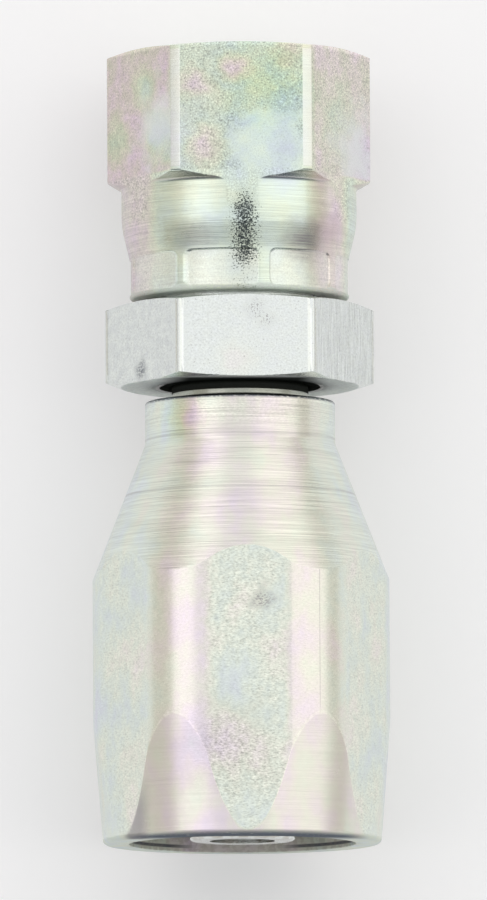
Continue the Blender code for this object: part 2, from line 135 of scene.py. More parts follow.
SEAT_HALF_ANGLE_DEG = 37.0

# %% Sizes of the swivel nut
NUT_THREAD_RADIUS = 0.75 * INCH / 2
NUT_CORNER_RADIUS = 12.54 * MM
NUT_FLAT_WIDTH = 12.6 * MM
NUT_FACE_RADIUS = 10.9525 * MM
NUT_FACE_CHAMFER = 0.35 * MM
NUT_SHOULDER = 63.05 * MM
NUT_SHOULDER_SLOPE = 0.6 * MM
NUT_SHOULDER_FILLET = 0.5 * MM
NUT_SKIRT_RADIUS = 11.2025 * MM
NUT_CLOCKING_DEG = -1.3
CRIMP_RADIUS = 10.4525 * MM
CRIMP_LENGTH = 3.9 * MM
CRIMP_SLOPE_LENGTH = 3.1 * MM
CRIMP_BLEND_RADIUS = 9.0 * MM
CRIMP_ROOT_RADIUS = 4.0 * MM
SKIRT_END_ROUND = 0.35 * MM
LIP_RADIUS = 8.375 * MM
LIP_FRONT = 56.8257 * MM
NUT_THREAD_CHAMFER = 0.75 * MM

# %% [markdown]
# ## Formulas as nodes
#
# Every shape and finish below follows a rule, and Blender works rules out with nodes. A
# formula of twenty Math nodes is hard to read as twenty lines, so a small class lets
# Python's own signs build them: adding two fields adds a Math node set to Add.

# %% A field is one output of a node tree
class Field:
    """One output of a node tree. Sums, products and quotients of fields add Math nodes."""

    def __init__(self, tree, socket):
        self.tree = tree
        self.socket = socket

    def math(self, operation, *others):
        node = self.tree.nodes.new("ShaderNodeMath")
        node.operation = operation
        for slot, value in zip(node.inputs, (self, *others)):
            plug(self.tree, value, slot)
        return Field(self.tree, node.outputs[0])

    def __add__(self, other):
        return self.math("ADD", other)

    def __sub__(self, other):
        return self.math("SUBTRACT", other)

    def __mul__(self, other):
        return self.math("MULTIPLY", other)

    def __truediv__(self, other):
        return self.math("DIVIDE", other)

    def __pow__(self, other):
        return self.math("POWER", other)

    def __neg__(self):
        return self * -1.0

    def __abs__(self):
        return self.math("ABSOLUTE")

    def flipped(self):
        """One minus the field."""
        return -self + 1.0

    def clamped(self):
        return self.math("MAXIMUM", 0.0).math("MINIMUM", 1.0)

    def between(self, low, high, soft):
        """Rises from 0 before low to 1 there, and falls back to 0 past high."""
        return self.step(low - soft, low) * self.step(high + soft, high)

    def step(self, low, high):
        """Rises smoothly from 0 at low to 1 at high."""
        return add(self.tree, "ShaderNodeMapRange", "Result",
                   {"Value": self, "From Min": low, "From Max": high},
                   interpolation_type="SMOOTHSTEP")


def plug(tree, value, slot):
    """Link a field to a node's input, or write a plain value in it."""
    if isinstance(value, Field):
        tree.links.new(value.socket, slot)
    else:
        slot.default_value = value


def add(tree, kind, output, inputs=(), **settings):
    """Add a node, fill its inputs by name or number, and return one output as a field."""
    node = tree.nodes.new(kind)
    for setting, value in settings.items():
        setattr(node, setting, value)
    for name, value in dict(inputs).items():
        plug(tree, value, node.inputs[name])
    return Field(tree, node.outputs[output])


def split(vector):
    """The three parts of a vector field."""
    node = vector.tree.nodes.new("ShaderNodeSeparateXYZ")
    vector.tree.links.new(vector.socket, node.inputs[0])
    return [Field(vector.tree, output) for output in node.outputs]


def joined(tree, x, y, z):
    """A vector field from its three parts."""
    return add(tree, "ShaderNodeCombineXYZ", "Vector", {"X": x, "Y": y, "Z": z})


# %% [markdown]
# ## Geometry Nodes from a profile
#
# Each piece starts as a profile, a line of points that hold a radius and a station. The
# tree lays a grid over it, with one row for each point and many columns round the axis,
# and moves each grid point to its place by a rule. One tree then serves all three pieces,
# and its inputs are the sizes.

# %% Trees and their inputs
NUMBER_INPUTS = {int: "NodeSocketInt", float: "NodeSocketFloat"}
WELD = 0.002 * MM


def new_tree(name, inputs):
    """A geometry tree and its inputs as fields. Each is given as a name and a default."""
    tree = bpy.data.node_groups.new(name, "GeometryNodeTree")
    tree.interface.new_socket("Geometry", in_out="INPUT", socket_type="NodeSocketGeometry")
    tree.interface.new_socket("Geometry", in_out="OUTPUT", socket_type="NodeSocketGeometry")
    for label, default in inputs:
        kind = NUMBER_INPUTS.get(type(default), "NodeSocketMaterial")
        socket = tree.interface.new_socket(label, in_out="INPUT", socket_type=kind)
        if default is not None:
            socket.default_value = default
    group_input = tree.nodes.new("NodeGroupInput")
    fields = {output.name: Field(tree, output) for output in group_input.outputs if output.name}
    return tree, fields


def mesh_node(tree, kind, inputs, **settings):
    """Add a geometry node and return the mesh that it makes."""
    return add(tree, "GeometryNode" + kind, "Geometry", inputs, **settings)


def lay_grid(tree, profile, columns):
    """A grid with a row for each profile point, and its fields radius, station and column."""
    rows = add(tree, "GeometryNodeAttributeDomainSize", "Point Count", {"Geometry": profile})
    grid = add(tree, "GeometryNodeMeshGrid", "Mesh",
               {"Vertices X": columns + 1, "Vertices Y": rows})
    index = add(tree, "GeometryNodeInputIndex", "Index")
    column = (index / rows).math("FLOOR")
    position = add(tree, "GeometryNodeInputPosition", "Position")
    point = add(tree, "GeometryNodeSampleIndex", "Value",
                {"Geometry": profile, "Value": position, "Index": index - column * rows},
                data_type="FLOAT_VECTOR")
    radius, _, station = split(point)
    return grid, radius, station, column


def wind(tree, grid, radius, angle, station):
    """Move each point of a grid to its radius, its angle round the axis and its station."""
    place = joined(tree, radius * angle.math("COSINE"), radius * angle.math("SINE"), station)
    return mesh_node(tree, "SetPosition", {"Geometry": grid, "Position": place})


def end_tree(tree, mesh, material):
    """Weld the seams, shade smooth, and end in Realize Instances and Set Material."""
    welded = mesh_node(tree, "MergeByDistance", {"Geometry": mesh, "Distance": WELD})
    smooth = mesh_node(tree, "SetShadeSmooth", {"Geometry": welded})
    real = mesh_node(tree, "RealizeInstances", {"Geometry": smooth})
    finished = mesh_node(tree, "SetMaterial", {"Geometry": real, "Material": material})
    output = tree.nodes.new("NodeGroupOutput")
    tree.links.new(finished.socket, output.inputs[0])


def keep_number(tree, mesh, name, value):
    """Store a number on each point, for the materials to read."""
    return mesh_node(tree, "StoreNamedAttribute", {"Geometry": mesh, "Name": name, "Value": value},
                     data_type="FLOAT", domain="POINT")


# %% [markdown]
# ## A hexagonal bar in a lathe
#
# The socket, the nipple and the nut are all hexagonal bar turned in a lathe. At any
# point the metal reaches as far as the tool left it or as far as the bar did, whichever
# is less. A Boolean would give the same shape with knife edges. The rule here is a smooth
# minimum instead, which rounds every edge between a flat and a turned face a little, as
# plating does. The columns crowd where the flats end, so the arches stay crisp.

# %% The tree that turns a bar
DRAWN_BLEND = 0.03 * MM
SECTOR_NUDGE = 0.0001        # keeps a column on a sector's edge out of the sector before it


def turned_bar_tree():
    tree, given = new_tree("turned_bar", [
        ("Columns", 384), ("Flat Share", 0.375), ("Crowding", 1.6), ("Round Angle", 0.09),
        ("Flat Radius", 0.011), ("Flat Angle", 0.5), ("Corner Radius", 0.012),
        ("Corner Rounding", 0.001), ("Softness", 0.00003), ("Clocking", 0.0), ("Finish", None)])
    flat_radius = given["Flat Radius"]
    grid, turned, station, column = lay_grid(tree, given["Geometry"], given["Columns"])

    sixth = column / (given["Columns"] / 6.0)
    sector = (sixth + SECTOR_NUDGE).math("FLOOR")
    side = (sixth - sector) * 2.0 - 1.0
    share = given["Flat Share"]
    reach = (flat_radius / turned).math("MINIMUM", 1.0).math("ARCCOSINE")
    edge = reach.math("MINIMUM", given["Flat Angle"]).math("MAXIMUM", given["Round Angle"])
    on_flat = (abs(side) / share).clamped()
    on_corner = ((abs(side) - share) / share.flipped()).clamped()
    flat_turn = edge * (on_flat.flipped() ** given["Crowding"]).flipped()
    corner_turn = (-edge + HALF_SECTOR) * on_corner ** given["Crowding"]
    turn = (flat_turn + corner_turn) * side.math("SIGN")

    # The bar: its flat, and the arc that rounds its corner, past half the flat's width
    flat = flat_radius / turn.math("COSINE")
    rounding = given["Corner Rounding"]
    arc_centre = given["Corner Radius"] - rounding
    from_corner = -abs(turn) + HALF_SECTOR
    across = arc_centre * from_corner.math("SINE")
    under_root = (rounding * rounding - across * across).math("MAXIMUM", 0.0)
    arc = arc_centre * from_corner.math("COSINE") + under_root.math("SQRT")
    far_from_corner = abs(turn).math("LESS_THAN", given["Flat Angle"] * 0.5)
    softness = given["Softness"]
    bar = flat.math("SMOOTH_MIN", arc + far_from_corner, softness)
    radius = turned.math("SMOOTH_MIN", bar, softness)

    angle = (sector + 0.5) * (2.0 * HALF_SECTOR) + turn + given["Clocking"]
    shaped = wind(tree, grid, radius, angle, station)
    drawn = ((turned - bar) / DRAWN_BLEND + 0.8).clamped()
    marked = keep_number(tree, shaped, "drawn", drawn)
    past_flat = (abs(turn) / given["Flat Angle"]).step(0.76, 1.10)
    marked = keep_number(tree, marked, "corner", past_flat * drawn)
    end_tree(tree, marked, given["Finish"])
    return tree


TURNED_BAR = turned_bar_tree()
print("turned_bar:", len(TURNED_BAR.nodes), "nodes")

# %% [markdown]
# ## Profiles
#
# A profile is a short list of points, each with the number of rows that lead up to it.
# Fillets are arcs. Rows are close together where a cone or a taper crosses the flats,
# and far apart along plain bores.

# %% Helpers for profiles
def arc_rows(centre, radius, start_deg, end_deg, steps, rows=1):
    """Points on an arc as (radius, station, rows), with some rows up to the first of them."""
    points = []
    for step in range(steps + 1):
        angle = math.radians(start_deg + (end_deg - start_deg) * step / steps)
        points.append((centre[0] + radius * math.cos(angle), centre[1] + radius * math.sin(angle),
                       1 if step else rows))
    return points


def front_round(radius, station, rounding, steps):
    """The round edge from a front face out to the side."""
    return arc_rows((radius - rounding, station - rounding), rounding, 90.0, 0.0, steps)


def back_round(radius, station, rounding, steps, rows=1):
    """The round edge from the side in to a back face."""
    return arc_rows((radius - rounding, station + rounding), rounding, 0.0, -90.0, steps, rows)


def round_corner(before, corner, after, radius, steps, rows=1):
    """The arc that replaces a profile's corner and touches both of its sides."""
    corner = Vector(corner)
    back = Vector(before) - corner
    ahead = Vector(after) - corner
    half_angle = back.angle(ahead) / 2
    tangent = min(radius / math.tan(half_angle), 0.48 * min(back.length, ahead.length))
    radius = tangent * math.tan(half_angle)
    inwards = (back.normalized() + ahead.normalized()).normalized()
    centre = corner + inwards * radius / math.sin(half_angle)
    start = corner + back.normalized() * tangent - centre
    end = corner + ahead.normalized() * tangent - centre
    start_deg = math.degrees(math.atan2(start.y, start.x))
    turn = (math.degrees(math.atan2(end.y, end.x)) - start_deg + 180.0) % 360.0 - 180.0
    return arc_rows(centre, radius, start_deg, start_deg + turn, steps, rows)


def profile_object(name, outline):
    """An object whose mesh is the closed profile, cut into its rows."""
    points = [Vector(outline[0][:2])]
    for radius, station, rows in outline[1:] + [(*outline[0][:2], 1)]:
        start = points[-1]
        for row in range(1, rows + 1):
            points.append(start.lerp(Vector((radius, station)), row / rows))
    mesh = bpy.data.meshes.new(name)
    vertices = [(point.x, 0.0, point.y) for point in points]
    mesh.from_pydata(vertices, [(row, row + 1) for row in range(len(points) - 1)], [])
    profile = bpy.data.objects.new(name, mesh)
    bpy.context.scene.collection.objects.link(profile)
    return profile


# %% [markdown]
# ## From a tree's result to a plain mesh
#
# A tree's result exists only while its modifier does. Each one is turned into a mesh,
# laid along the fitting's axis, and checked for open edges. What the finishes need to
# know about a point's facing is stored here, because only the finished mesh has it.

# %% Make a piece plain and put it in its place
TO_WORLD = (Matrix.Translation((0.0, HOSE_END, AXIS_HEIGHT))
            @ Matrix.Rotation(-math.pi / 2, 4, "X"))
SHARP_DEG = 38.0
FACES_AXIS = -0.2


def add_nodes(obj, tree, values):
    """Put a tree on an object and set its inputs by their identifiers."""
    modifier = obj.modifiers.new(tree.name, "NODES")
    modifier.node_group = tree
    for item in tree.interface.items_tree:
        if item.in_out == "INPUT" and item.name in values:
            modifier[item.identifier] = values[item.name]


def keep_facing(mesh):
    """Store how far each point faces up, and whether it faces the axis, as in a bore."""
    for name in ("up", "bore"):
        mesh.attributes.new(name, "FLOAT", "POINT")
    up = mesh.attributes["up"]
    bore = mesh.attributes["bore"]
    for vertex, normal in zip(mesh.vertices, mesh.vertex_normals):
        outwards = Vector((vertex.co.x, 0.0, vertex.co.z - AXIS_HEIGHT)).normalized()
        up.data[vertex.index].value = normal.vector.z
        bore.data[vertex.index].value = float(outwards.dot(normal.vector) < FACES_AXIS)


def make_plain(obj, finish):
    """Replace the object's mesh by its evaluated one, in the frame's place, with faces outwards."""
    graph = bpy.context.evaluated_depsgraph_get()
    mesh = bpy.data.meshes.new_from_object(obj.evaluated_get(graph))
    obj.modifiers.clear()
    obj.data = mesh
    mesh.name = obj.name
    mesh.transform(TO_WORLD)
    bm = bmesh.new()
    bm.from_mesh(mesh)
    bmesh.ops.dissolve_degenerate(bm, dist=WELD, edges=bm.edges)
    bmesh.ops.recalc_face_normals(bm, faces=bm.faces)
    open_edges = sum(1 for edge in bm.edges if not edge.is_manifold)
    volume = bm.calc_volume(signed=True)
    bm.to_mesh(mesh)
    bm.free()
    keep_facing(mesh)
    mesh.set_sharp_from_angle(angle=math.radians(SHARP_DEG))
    mesh.materials.clear()
    mesh.materials.append(finish)
    triangles = sum(len(face.vertices) - 2 for face in mesh.polygons)
    print(f"{obj.name}: {triangles} triangles, {open_edges} open edges, {volume / MM ** 3:.0f} mm3")
    return obj


def bar_sizes(flat_radius, flat_width, corner_radius):
    """Inputs that say how the bar's corner arc runs through its peak and the flats' edges."""
    edge_radius = math.hypot(flat_radius, flat_width / 2)
    flat_angle = math.atan2(flat_width / 2, flat_radius)
    half_chord = edge_radius * math.sin(HALF_SECTOR - flat_angle)
    rise = corner_radius - edge_radius * math.cos(HALF_SECTOR - flat_angle)
    rounding = (half_chord ** 2 + rise ** 2) / (2 * rise)
    return {"Flat Radius": flat_radius, "Flat Angle": flat_angle,
            "Corner Radius": corner_radius, "Corner Rounding": rounding}


# %% Empty finishes, filled in once the shapes are there
FINISHES = {}
for name in ("socket_zinc", "nipple_zinc", "nut_zinc", "thread_zinc"):
    FINISHES[name] = bpy.data.materials.new(name)
    FINISHES[name].use_nodes = True

# %% [markdown]
# ## The socket
#
# The socket is a bar with rounded corners. A lathe gave it the neck, the cone and the
# light taper towards the hose end. Where the taper meets the rounded corners it leaves
# the six arched panels that the photograph shows. The bore is part of the same profile.

# %% Turn the socket
def make_socket():
    end_radius = SOCKET_CORNER_RADIUS - SOCKET_TAPER_DROP
    cone_front = SOCKET_LENGTH - SOCKET_NECK_LENGTH
    cone_slope = (SOCKET_CORNER_RADIUS - SOCKET_NECK_RADIUS) / SOCKET_CONE_LENGTH
    taper_slope = SOCKET_TAPER_DROP / SOCKET_TAPER_LENGTH
    body_radius = SOCKET_CORNER_RADIUS + TURNING_MARGIN
    cone_back = cone_front - SOCKET_CONE_LENGTH - TURNING_MARGIN / cone_slope
    taper_front = SOCKET_TAPER_LENGTH + TURNING_MARGIN / taper_slope
    flats_start = cone_back + 2.6 * MM
    arches_end = SOCKET_TAPER_LENGTH - 3.2 * MM
    rim_back = (SOCKET_NECK_RADIUS, SOCKET_LENGTH - EDGE_BREAK)
    neck_foot = (SOCKET_NECK_RADIUS, cone_front)
    body_front = (body_radius, cone_back)
    outline = [(NECK_BORE_RADIUS + NECK_BORE_FLARE, SOCKET_LENGTH, 1)]
    outline += [(SOCKET_NECK_RADIUS - EDGE_BREAK, SOCKET_LENGTH, 2)]
    outline += front_round(SOCKET_NECK_RADIUS, SOCKET_LENGTH, EDGE_BREAK, 5)
    outline += round_corner(rim_back, neck_foot, body_front, NECK_FILLET, 8, rows=6)
    outline += [(body_radius - (flats_start - cone_back) * cone_slope, flats_start, 22)]
    outline += [(*body_front, 26), (body_radius, taper_front, 12)]
    outline += [(body_radius - (taper_front - arches_end) * taper_slope, arches_end, 26)]
    outline += back_round(end_radius, 0.0, SOCKET_END_ROUND, 9, rows=26)
    outline += [(MOUTH_RADIUS, 0.0, 3), (GRIP_ROOT_RADIUS, MOUTH_RADIUS - GRIP_ROOT_RADIUS, 1)]
    outline += [(GRIP_ROOT_RADIUS, GROOVE_BACK - (GROOVE_RADIUS - GRIP_ROOT_RADIUS), 8)]
    outline += [(GROOVE_RADIUS, GROOVE_BACK, 1), (GROOVE_RADIUS, GROOVE_FRONT, 2)]
    outline += [(GRIP_CREST_RADIUS, CHAMBER_FRONT, 2), (NECK_BORE_RADIUS, NECK_BORE_BACK, 3)]
    outline += [(NECK_BORE_RADIUS, SOCKET_LENGTH - NECK_BORE_FLARE, 6)]
    socket = profile_object("socket_shell", outline)
    add_nodes(socket, TURNED_BAR, {
        "Columns": 384, "Flat Share": 0.375, "Crowding": 1.6, "Round Angle": math.radians(5.0),
        **bar_sizes(SOCKET_FLAT_RADIUS, SOCKET_FLAT_WIDTH, SOCKET_CORNER_RADIUS),
        "Finish": FINISHES["socket_zinc"]})
    return make_plain(socket, FINISHES["socket_zinc"])


socket_shell = make_socket()

# %% [markdown]
# ## The nipple
#
# One piece of the same 7/8 inch bar as the nut. Only its middle keeps the hexagon, with a
# light chamfer on both faces. Everything else is turned below the flats, so the rule
# leaves it round: the nose with its 37 degree seat, the collar that holds the nut, the
# shank, the neck, and the tail that goes inside the hose.

# %% Turn the nipple
def make_nipple():
    turned_corner = WRENCH_CORNER_RADIUS + TURNING_MARGIN
    chamfer = (turned_corner - WRENCH_FLAT_RADIUS) * math.tan(math.radians(NIPPLE_CHAMFER_DEG))
    seat_slope = math.tan(math.radians(SEAT_HALF_ANGLE_DEG))
    seat_back = NOSE_FRONT - (SEAT_MOUTH_RADIUS - NIPPLE_BORE_RADIUS) / seat_slope
    neck_back = NIPPLE_THREAD_FRONT + (NIPPLE_THREAD_RADIUS - NIPPLE_NECK_RADIUS)
    thread_back = NECK_BORE_BACK + (NIPPLE_THREAD_RADIUS - NIPPLE_NECK_RADIUS)
    outline = [(SEAT_MOUTH_RADIUS, NOSE_FRONT, 1)]
    outline += front_round(NOSE_RADIUS, NOSE_FRONT, EDGE_BREAK, 4)
    outline += [(NOSE_RADIUS, COLLAR_FRONT, 3)]
    outline += front_round(COLLAR_RADIUS, COLLAR_FRONT, EDGE_BREAK, 4)
    outline += [(COLLAR_RADIUS, COLLAR_BACK, 4), (SHANK_RADIUS, SHANK_FRONT, 3)]
    outline += [(SHANK_RADIUS, NIPPLE_HEX_FRONT, 4), (WRENCH_FLAT_RADIUS, NIPPLE_HEX_FRONT, 6)]
    outline += [(turned_corner, NIPPLE_HEX_FRONT - chamfer, 12)]
    outline += [(turned_corner, NIPPLE_HEX_BACK + chamfer, 6)]
    outline += [(WRENCH_FLAT_RADIUS, NIPPLE_HEX_BACK, 12), (NIPPLE_NECK_RADIUS, NIPPLE_HEX_BACK, 8)]
    outline += [(NIPPLE_NECK_RADIUS, neck_back, 6), (NIPPLE_THREAD_RADIUS, NIPPLE_THREAD_FRONT, 2)]
    outline += [(NIPPLE_THREAD_RADIUS, thread_back, 4), (NIPPLE_NECK_RADIUS, NECK_BORE_BACK, 2)]
    outline += [(TAIL_RADIUS, TAIL_CONE_BACK, 4), (TAIL_RADIUS, TAIL_BACK + TAIL_TIP_TAPER, 8)]
    outline += back_round(TAIL_TIP_RADIUS, TAIL_BACK, TAIL_TIP_ROUND, 6)
    outline += [(NIPPLE_BORE_RADIUS, TAIL_BACK, 3), (NIPPLE_BORE_RADIUS, seat_back, 10)]
    outline += [(SEAT_MOUTH_RADIUS, NOSE_FRONT, 5)]
    nipple = profile_object("nipple_body", outline)
    add_nodes(nipple, TURNED_BAR, {
        "Columns": 336, "Flat Share": 0.75, "Crowding": 1.6, "Round Angle": math.radians(18.0),
        **bar_sizes(WRENCH_FLAT_RADIUS, NIPPLE_FLAT_WIDTH, NIPPLE_CORNER_RADIUS),
        "Clocking": math.radians(NIPPLE_CLOCKING_DEG), "Finish": FINISHES["nipple_zinc"]})
    return make_plain(nipple, FINISHES["nipple_zinc"])


nipple_body = make_nipple()

# %% [markdown]
# ## The swivel nut and its die marks
#
# The nut's corners are turned to narrow bright strips, and behind the hexagon its skirt
# narrows to the crimp. Eight die faces pressed the skirt in and left eight shallow
# panels with round corners. A second tree presses them: it measures how far each point
# is inside a rounded rectangle and moves it in to the die's own radius.

# %% The tree that presses the die marks
INSIDE_SKIRT = 9.95 * MM


def press_tree():
    tree, given = new_tree("press_marks", [
        ("Marks", 8), ("Clocking", 0.0), ("Middle", 0.054), ("Half Length", 0.0016),
        ("Half Width", 0.0034), ("Corner", 0.0005), ("Wall", 0.0002), ("Die Radius", 0.0101),
        ("Finish", None)])
    x, y, station = split(add(tree, "GeometryNodeInputPosition", "Position"))
    radius = (x * x + y * y).math("SQRT")
    half_step = given["Marks"] ** -1.0 * math.pi
    angle = (y.math("ARCTAN2", x) - given["Clocking"]).math("WRAP", half_step, -half_step)
    corner = given["Corner"]
    across = abs(angle) * given["Die Radius"] - given["Half Width"] + corner
    along = abs(station - given["Middle"]) - given["Half Length"] + corner
    past_side = across.math("MAXIMUM", 0.0)
    past_end = along.math("MAXIMUM", 0.0)
    outside = (past_side ** 2.0 + past_end ** 2.0).math("SQRT")
    distance = outside + across.math("MAXIMUM", along).math("MINIMUM", 0.0) - corner
    pressed = distance.step(given["Wall"], 0.0)
    depth = (radius - given["Die Radius"]).math("MAXIMUM", 0.0) * pressed
    scale = (radius - depth) / radius
    place = joined(tree, x * scale, y * scale, station)
    shaped = mesh_node(tree, "SetPosition", {"Geometry": given["Geometry"], "Position": place})
    outer = radius.math("GREATER_THAN", INSIDE_SKIRT)
    marked = keep_number(tree, shaped, "pressed", pressed * outer)
    end_tree(tree, marked, given["Finish"])
    return tree


PRESS_MARKS = press_tree()
print("press_marks:", len(PRESS_MARKS.nodes), "nodes")

# %% Turn the nut and press its skirt
CRIMP_MARKS = 8
CRIMP_MARK_ANGLE_DEG = 38.0
CRIMP_CLOCKING_DEG = -10.9
CRIMP_MARK_DEPTH = 0.12 * MM
CRIMP_MARK_LENGTH = 3.25 * MM
CRIMP_MARK_SETBACK = 0.5 * MM
CRIMP_MARK_CORNER = 0.55 * MM
CRIMP_MARK_WALL = 0.14 * MM
TOP_FLAT_ANGLE = -math.pi / 2


def make_nut():
    skirt_front = (NUT_SKIRT_RADIUS, NUT_SHOULDER - NUT_SHOULDER_SLOPE)
    hexagon_back = (NUT_CORNER_RADIUS - EDGE_BREAK, NUT_SHOULDER)
    slope_back = (CRIMP_RADIUS, NUT_BACK + CRIMP_LENGTH)
    slope_front = (NUT_SKIRT_RADIUS, NUT_BACK + CRIMP_LENGTH + CRIMP_SLOPE_LENGTH)
    skirt_end = (CRIMP_RADIUS, NUT_BACK + SKIRT_END_ROUND)
    lip_rise = NUT_THREAD_RADIUS - LIP_RADIUS
    outline = [(NUT_THREAD_RADIUS + NUT_THREAD_CHAMFER, NUT_FRONT, 1)]
    outline += [(NUT_FACE_RADIUS, NUT_FRONT, 3)]
    outline += [(NUT_CORNER_RADIUS, NUT_FRONT - NUT_FACE_CHAMFER, 14)]
    outline += back_round(NUT_CORNER_RADIUS, NUT_SHOULDER, EDGE_BREAK, 5, rows=8)
    outline += round_corner(hexagon_back, skirt_front, slope_front, NUT_SHOULDER_FILLET, 10, rows=8)
    outline += round_corner(skirt_front, slope_front, slope_back, CRIMP_BLEND_RADIUS, 10, rows=6)
    outline += round_corner(slope_front, slope_back, skirt_end, CRIMP_ROOT_RADIUS, 14, rows=4)
    outline += back_round(CRIMP_RADIUS, NUT_BACK, SKIRT_END_ROUND, 6, rows=24)
    outline += [(LIP_RADIUS, NUT_BACK, 4), (LIP_RADIUS, LIP_FRONT, 4)]
    outline += [(NUT_THREAD_RADIUS, LIP_FRONT + lip_rise, 3)]
    outline += [(NUT_THREAD_RADIUS, NUT_FRONT - NUT_THREAD_CHAMFER, 8)]
    nut = profile_object("nut_body", outline)
    add_nodes(nut, TURNED_BAR, {
        "Columns": 528, "Flat Share": 8.0 / 11.0, "Crowding": 1.25,
        "Round Angle": math.radians(18.0), "Softness": 0.045 * MM,
        **bar_sizes(WRENCH_FLAT_RADIUS, NUT_FLAT_WIDTH, WRENCH_CORNER_RADIUS),
        "Clocking": math.radians(NUT_CLOCKING_DEG), "Finish": FINISHES["nut_zinc"]})
    die_radius = CRIMP_RADIUS - CRIMP_MARK_DEPTH
    add_nodes(nut, PRESS_MARKS, {
        "Marks": CRIMP_MARKS,
        "Clocking": TOP_FLAT_ANGLE + math.radians(CRIMP_CLOCKING_DEG + NUT_CLOCKING_DEG),
        "Middle": NUT_BACK + CRIMP_MARK_SETBACK + CRIMP_MARK_LENGTH / 2,
        "Half Length": CRIMP_MARK_LENGTH / 2,
        "Half Width": die_radius * math.radians(CRIMP_MARK_ANGLE_DEG) / 2,
        "Corner": CRIMP_MARK_CORNER, "Wall": CRIMP_MARK_WALL, "Die Radius": die_radius,
        "Finish": FINISHES["nut_zinc"]})
    return make_plain(nut, FINISHES["nut_zinc"])


nut_body = make_nut()

# %% [markdown]
# ## Threads
#
# A thread is one ridge that follows a helix. The tree lays the same kind of grid over a
# small section, four points instead of forty, and winds it round the axis: each column
# turns a little and climbs a little. At both ends the ridge sinks into the wall, as a
# thread runs out, and closes there.

# %% The tree that winds a thread
def thread_tree():
    tree, given = new_tree("thread", [
        ("Steps", 72), ("Turns", 6.0), ("Pitch", 0.0016), ("Start", 0.0), ("Wall Radius", 0.009),
        ("Runout", 0.35), ("Hand", 1.0), ("Finish", None)])
    columns = (given["Steps"] * given["Turns"]).math("ROUND")
    grid, height, offset, column = lay_grid(tree, given["Geometry"], columns)
    runout = given["Steps"] * given["Runout"]
    nearest_end = column.math("MINIMUM", columns - column)
    full = (nearest_end / runout).math("MINIMUM", 1.0)
    angle = column / given["Steps"] * math.tau * given["Hand"]
    radius = given["Wall Radius"] + height * full
    station = given["Start"] + column / given["Steps"] * given["Pitch"] + offset * full
    end_tree(tree, wind(tree, grid, radius, angle, station), given["Finish"])
    return tree


THREAD = thread_tree()
print("thread:", len(THREAD.nodes), "nodes")

# %% Three threads from one tree
THREAD_SEAT = 0.04 * MM
RIGHT_HAND, LEFT_HAND = 1.0, -1.0


def make_thread(name, wall_radius, crest_radius, root_width, crest_width, pitch, start, end, hand):
    """A ridge from the wall to the crest, seated a little way into the wall."""
    outwards = 1.0 if crest_radius > wall_radius else -1.0
    height = crest_radius - wall_radius + outwards * THREAD_SEAT
    section = [(0.0, -root_width / 2, 1), (height, -crest_width / 2, 1),
               (height, crest_width / 2, 1), (0.0, root_width / 2, 1)]
    thread = profile_object(name, section)
    add_nodes(thread, THREAD, {
        "Steps": 72, "Turns": (end - start - root_width) / pitch, "Pitch": pitch,
        "Start": start + root_width / 2, "Wall Radius": wall_radius - outwards * THREAD_SEAT,
        "Runout": 0.35, "Hand": hand, "Finish": FINISHES["thread_zinc"]})
    return make_plain(thread, FINISHES["thread_zinc"])


nut_thread = make_thread(
    "nut_thread", wall_radius=NUT_THREAD_RADIUS, crest_radius=8.72 * MM,
    root_width=1.42 * MM, crest_width=0.3 * MM, pitch=INCH / 16,
    start=COLLAR_FRONT + 2.6 * MM, end=NUT_FRONT - 0.3 * MM, hand=RIGHT_HAND)
nipple_thread = make_thread(
    "nipple_thread", wall_radius=NIPPLE_NECK_RADIUS + 0.1 * MM,
    crest_radius=NIPPLE_THREAD_RADIUS + 0.14 * MM, root_width=1.2 * MM, crest_width=0.2 * MM,
    pitch=INCH / 18, start=NECK_BORE_BACK + 0.8 * MM, end=NIPPLE_THREAD_FRONT, hand=RIGHT_HAND)
grip_thread = make_thread(
    "socket_grip_thread", wall_radius=GRIP_ROOT_RADIUS, crest_radius=GRIP_CREST_RADIUS,
    root_width=2.0 * MM, crest_width=0.96 * MM, pitch=GRIP_PITCH,
    start=0.6 * MM, end=GROOVE_BACK + 0.6 * MM, hand=LEFT_HAND)

# %% [markdown]
# ## Which body carries what
#
# Each new piece rides on the CAD body that it belongs to, and stands for the CAD node
# whose form it repeats.

# %% Ride and replace
for piece, body, slot in (
        (socket_shell, "socket", "socket_zinc"), (grip_thread, "socket", "socket_zinc"),
        (nipple_body, "nipple", "nipple_zinc"), (nipple_thread, "nipple", "nipple_zinc"),
        (nut_body, "swivel_nut", "nut_zinc"), (nut_thread, "swivel_nut", "nut_zinc")):
    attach(piece, body)
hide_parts("socket")
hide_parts("nipple")
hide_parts("swivel_nut")

# %% [markdown]
# ## Zinc under a chromate film
#
# Light that bounces off the film's top and off the zinc below it meets again, and the
# colours whose waves cancel are lost. The path between the two decides which: about
# 1250 nm looks rose, 1150 yellow and 1050 green. Three wavelengths are enough, one each
# for red, green and blue.

# %% The film's colour
WAVELENGTHS_NM = (620.0, 545.0, 455.0)
ROSE_NM, YELLOW_NM, GREEN_NM = 1245.0, 1150.0, 1055.0
FILM_INDEX = 1.8


def film_colour(path_nm, depth, zinc):
    """The colour of zinc under a film. The path is how much further the lower light goes."""
    channels = []
    for wavelength, bare in zip(WAVELENGTHS_NM, zinc):
        wave = (path_nm * (math.tau / wavelength)).math("COSINE")
        channels.append(((wave * 0.5 - 0.5) * depth + 1.0) * bare)
    return joined(path_nm.tree, *channels)


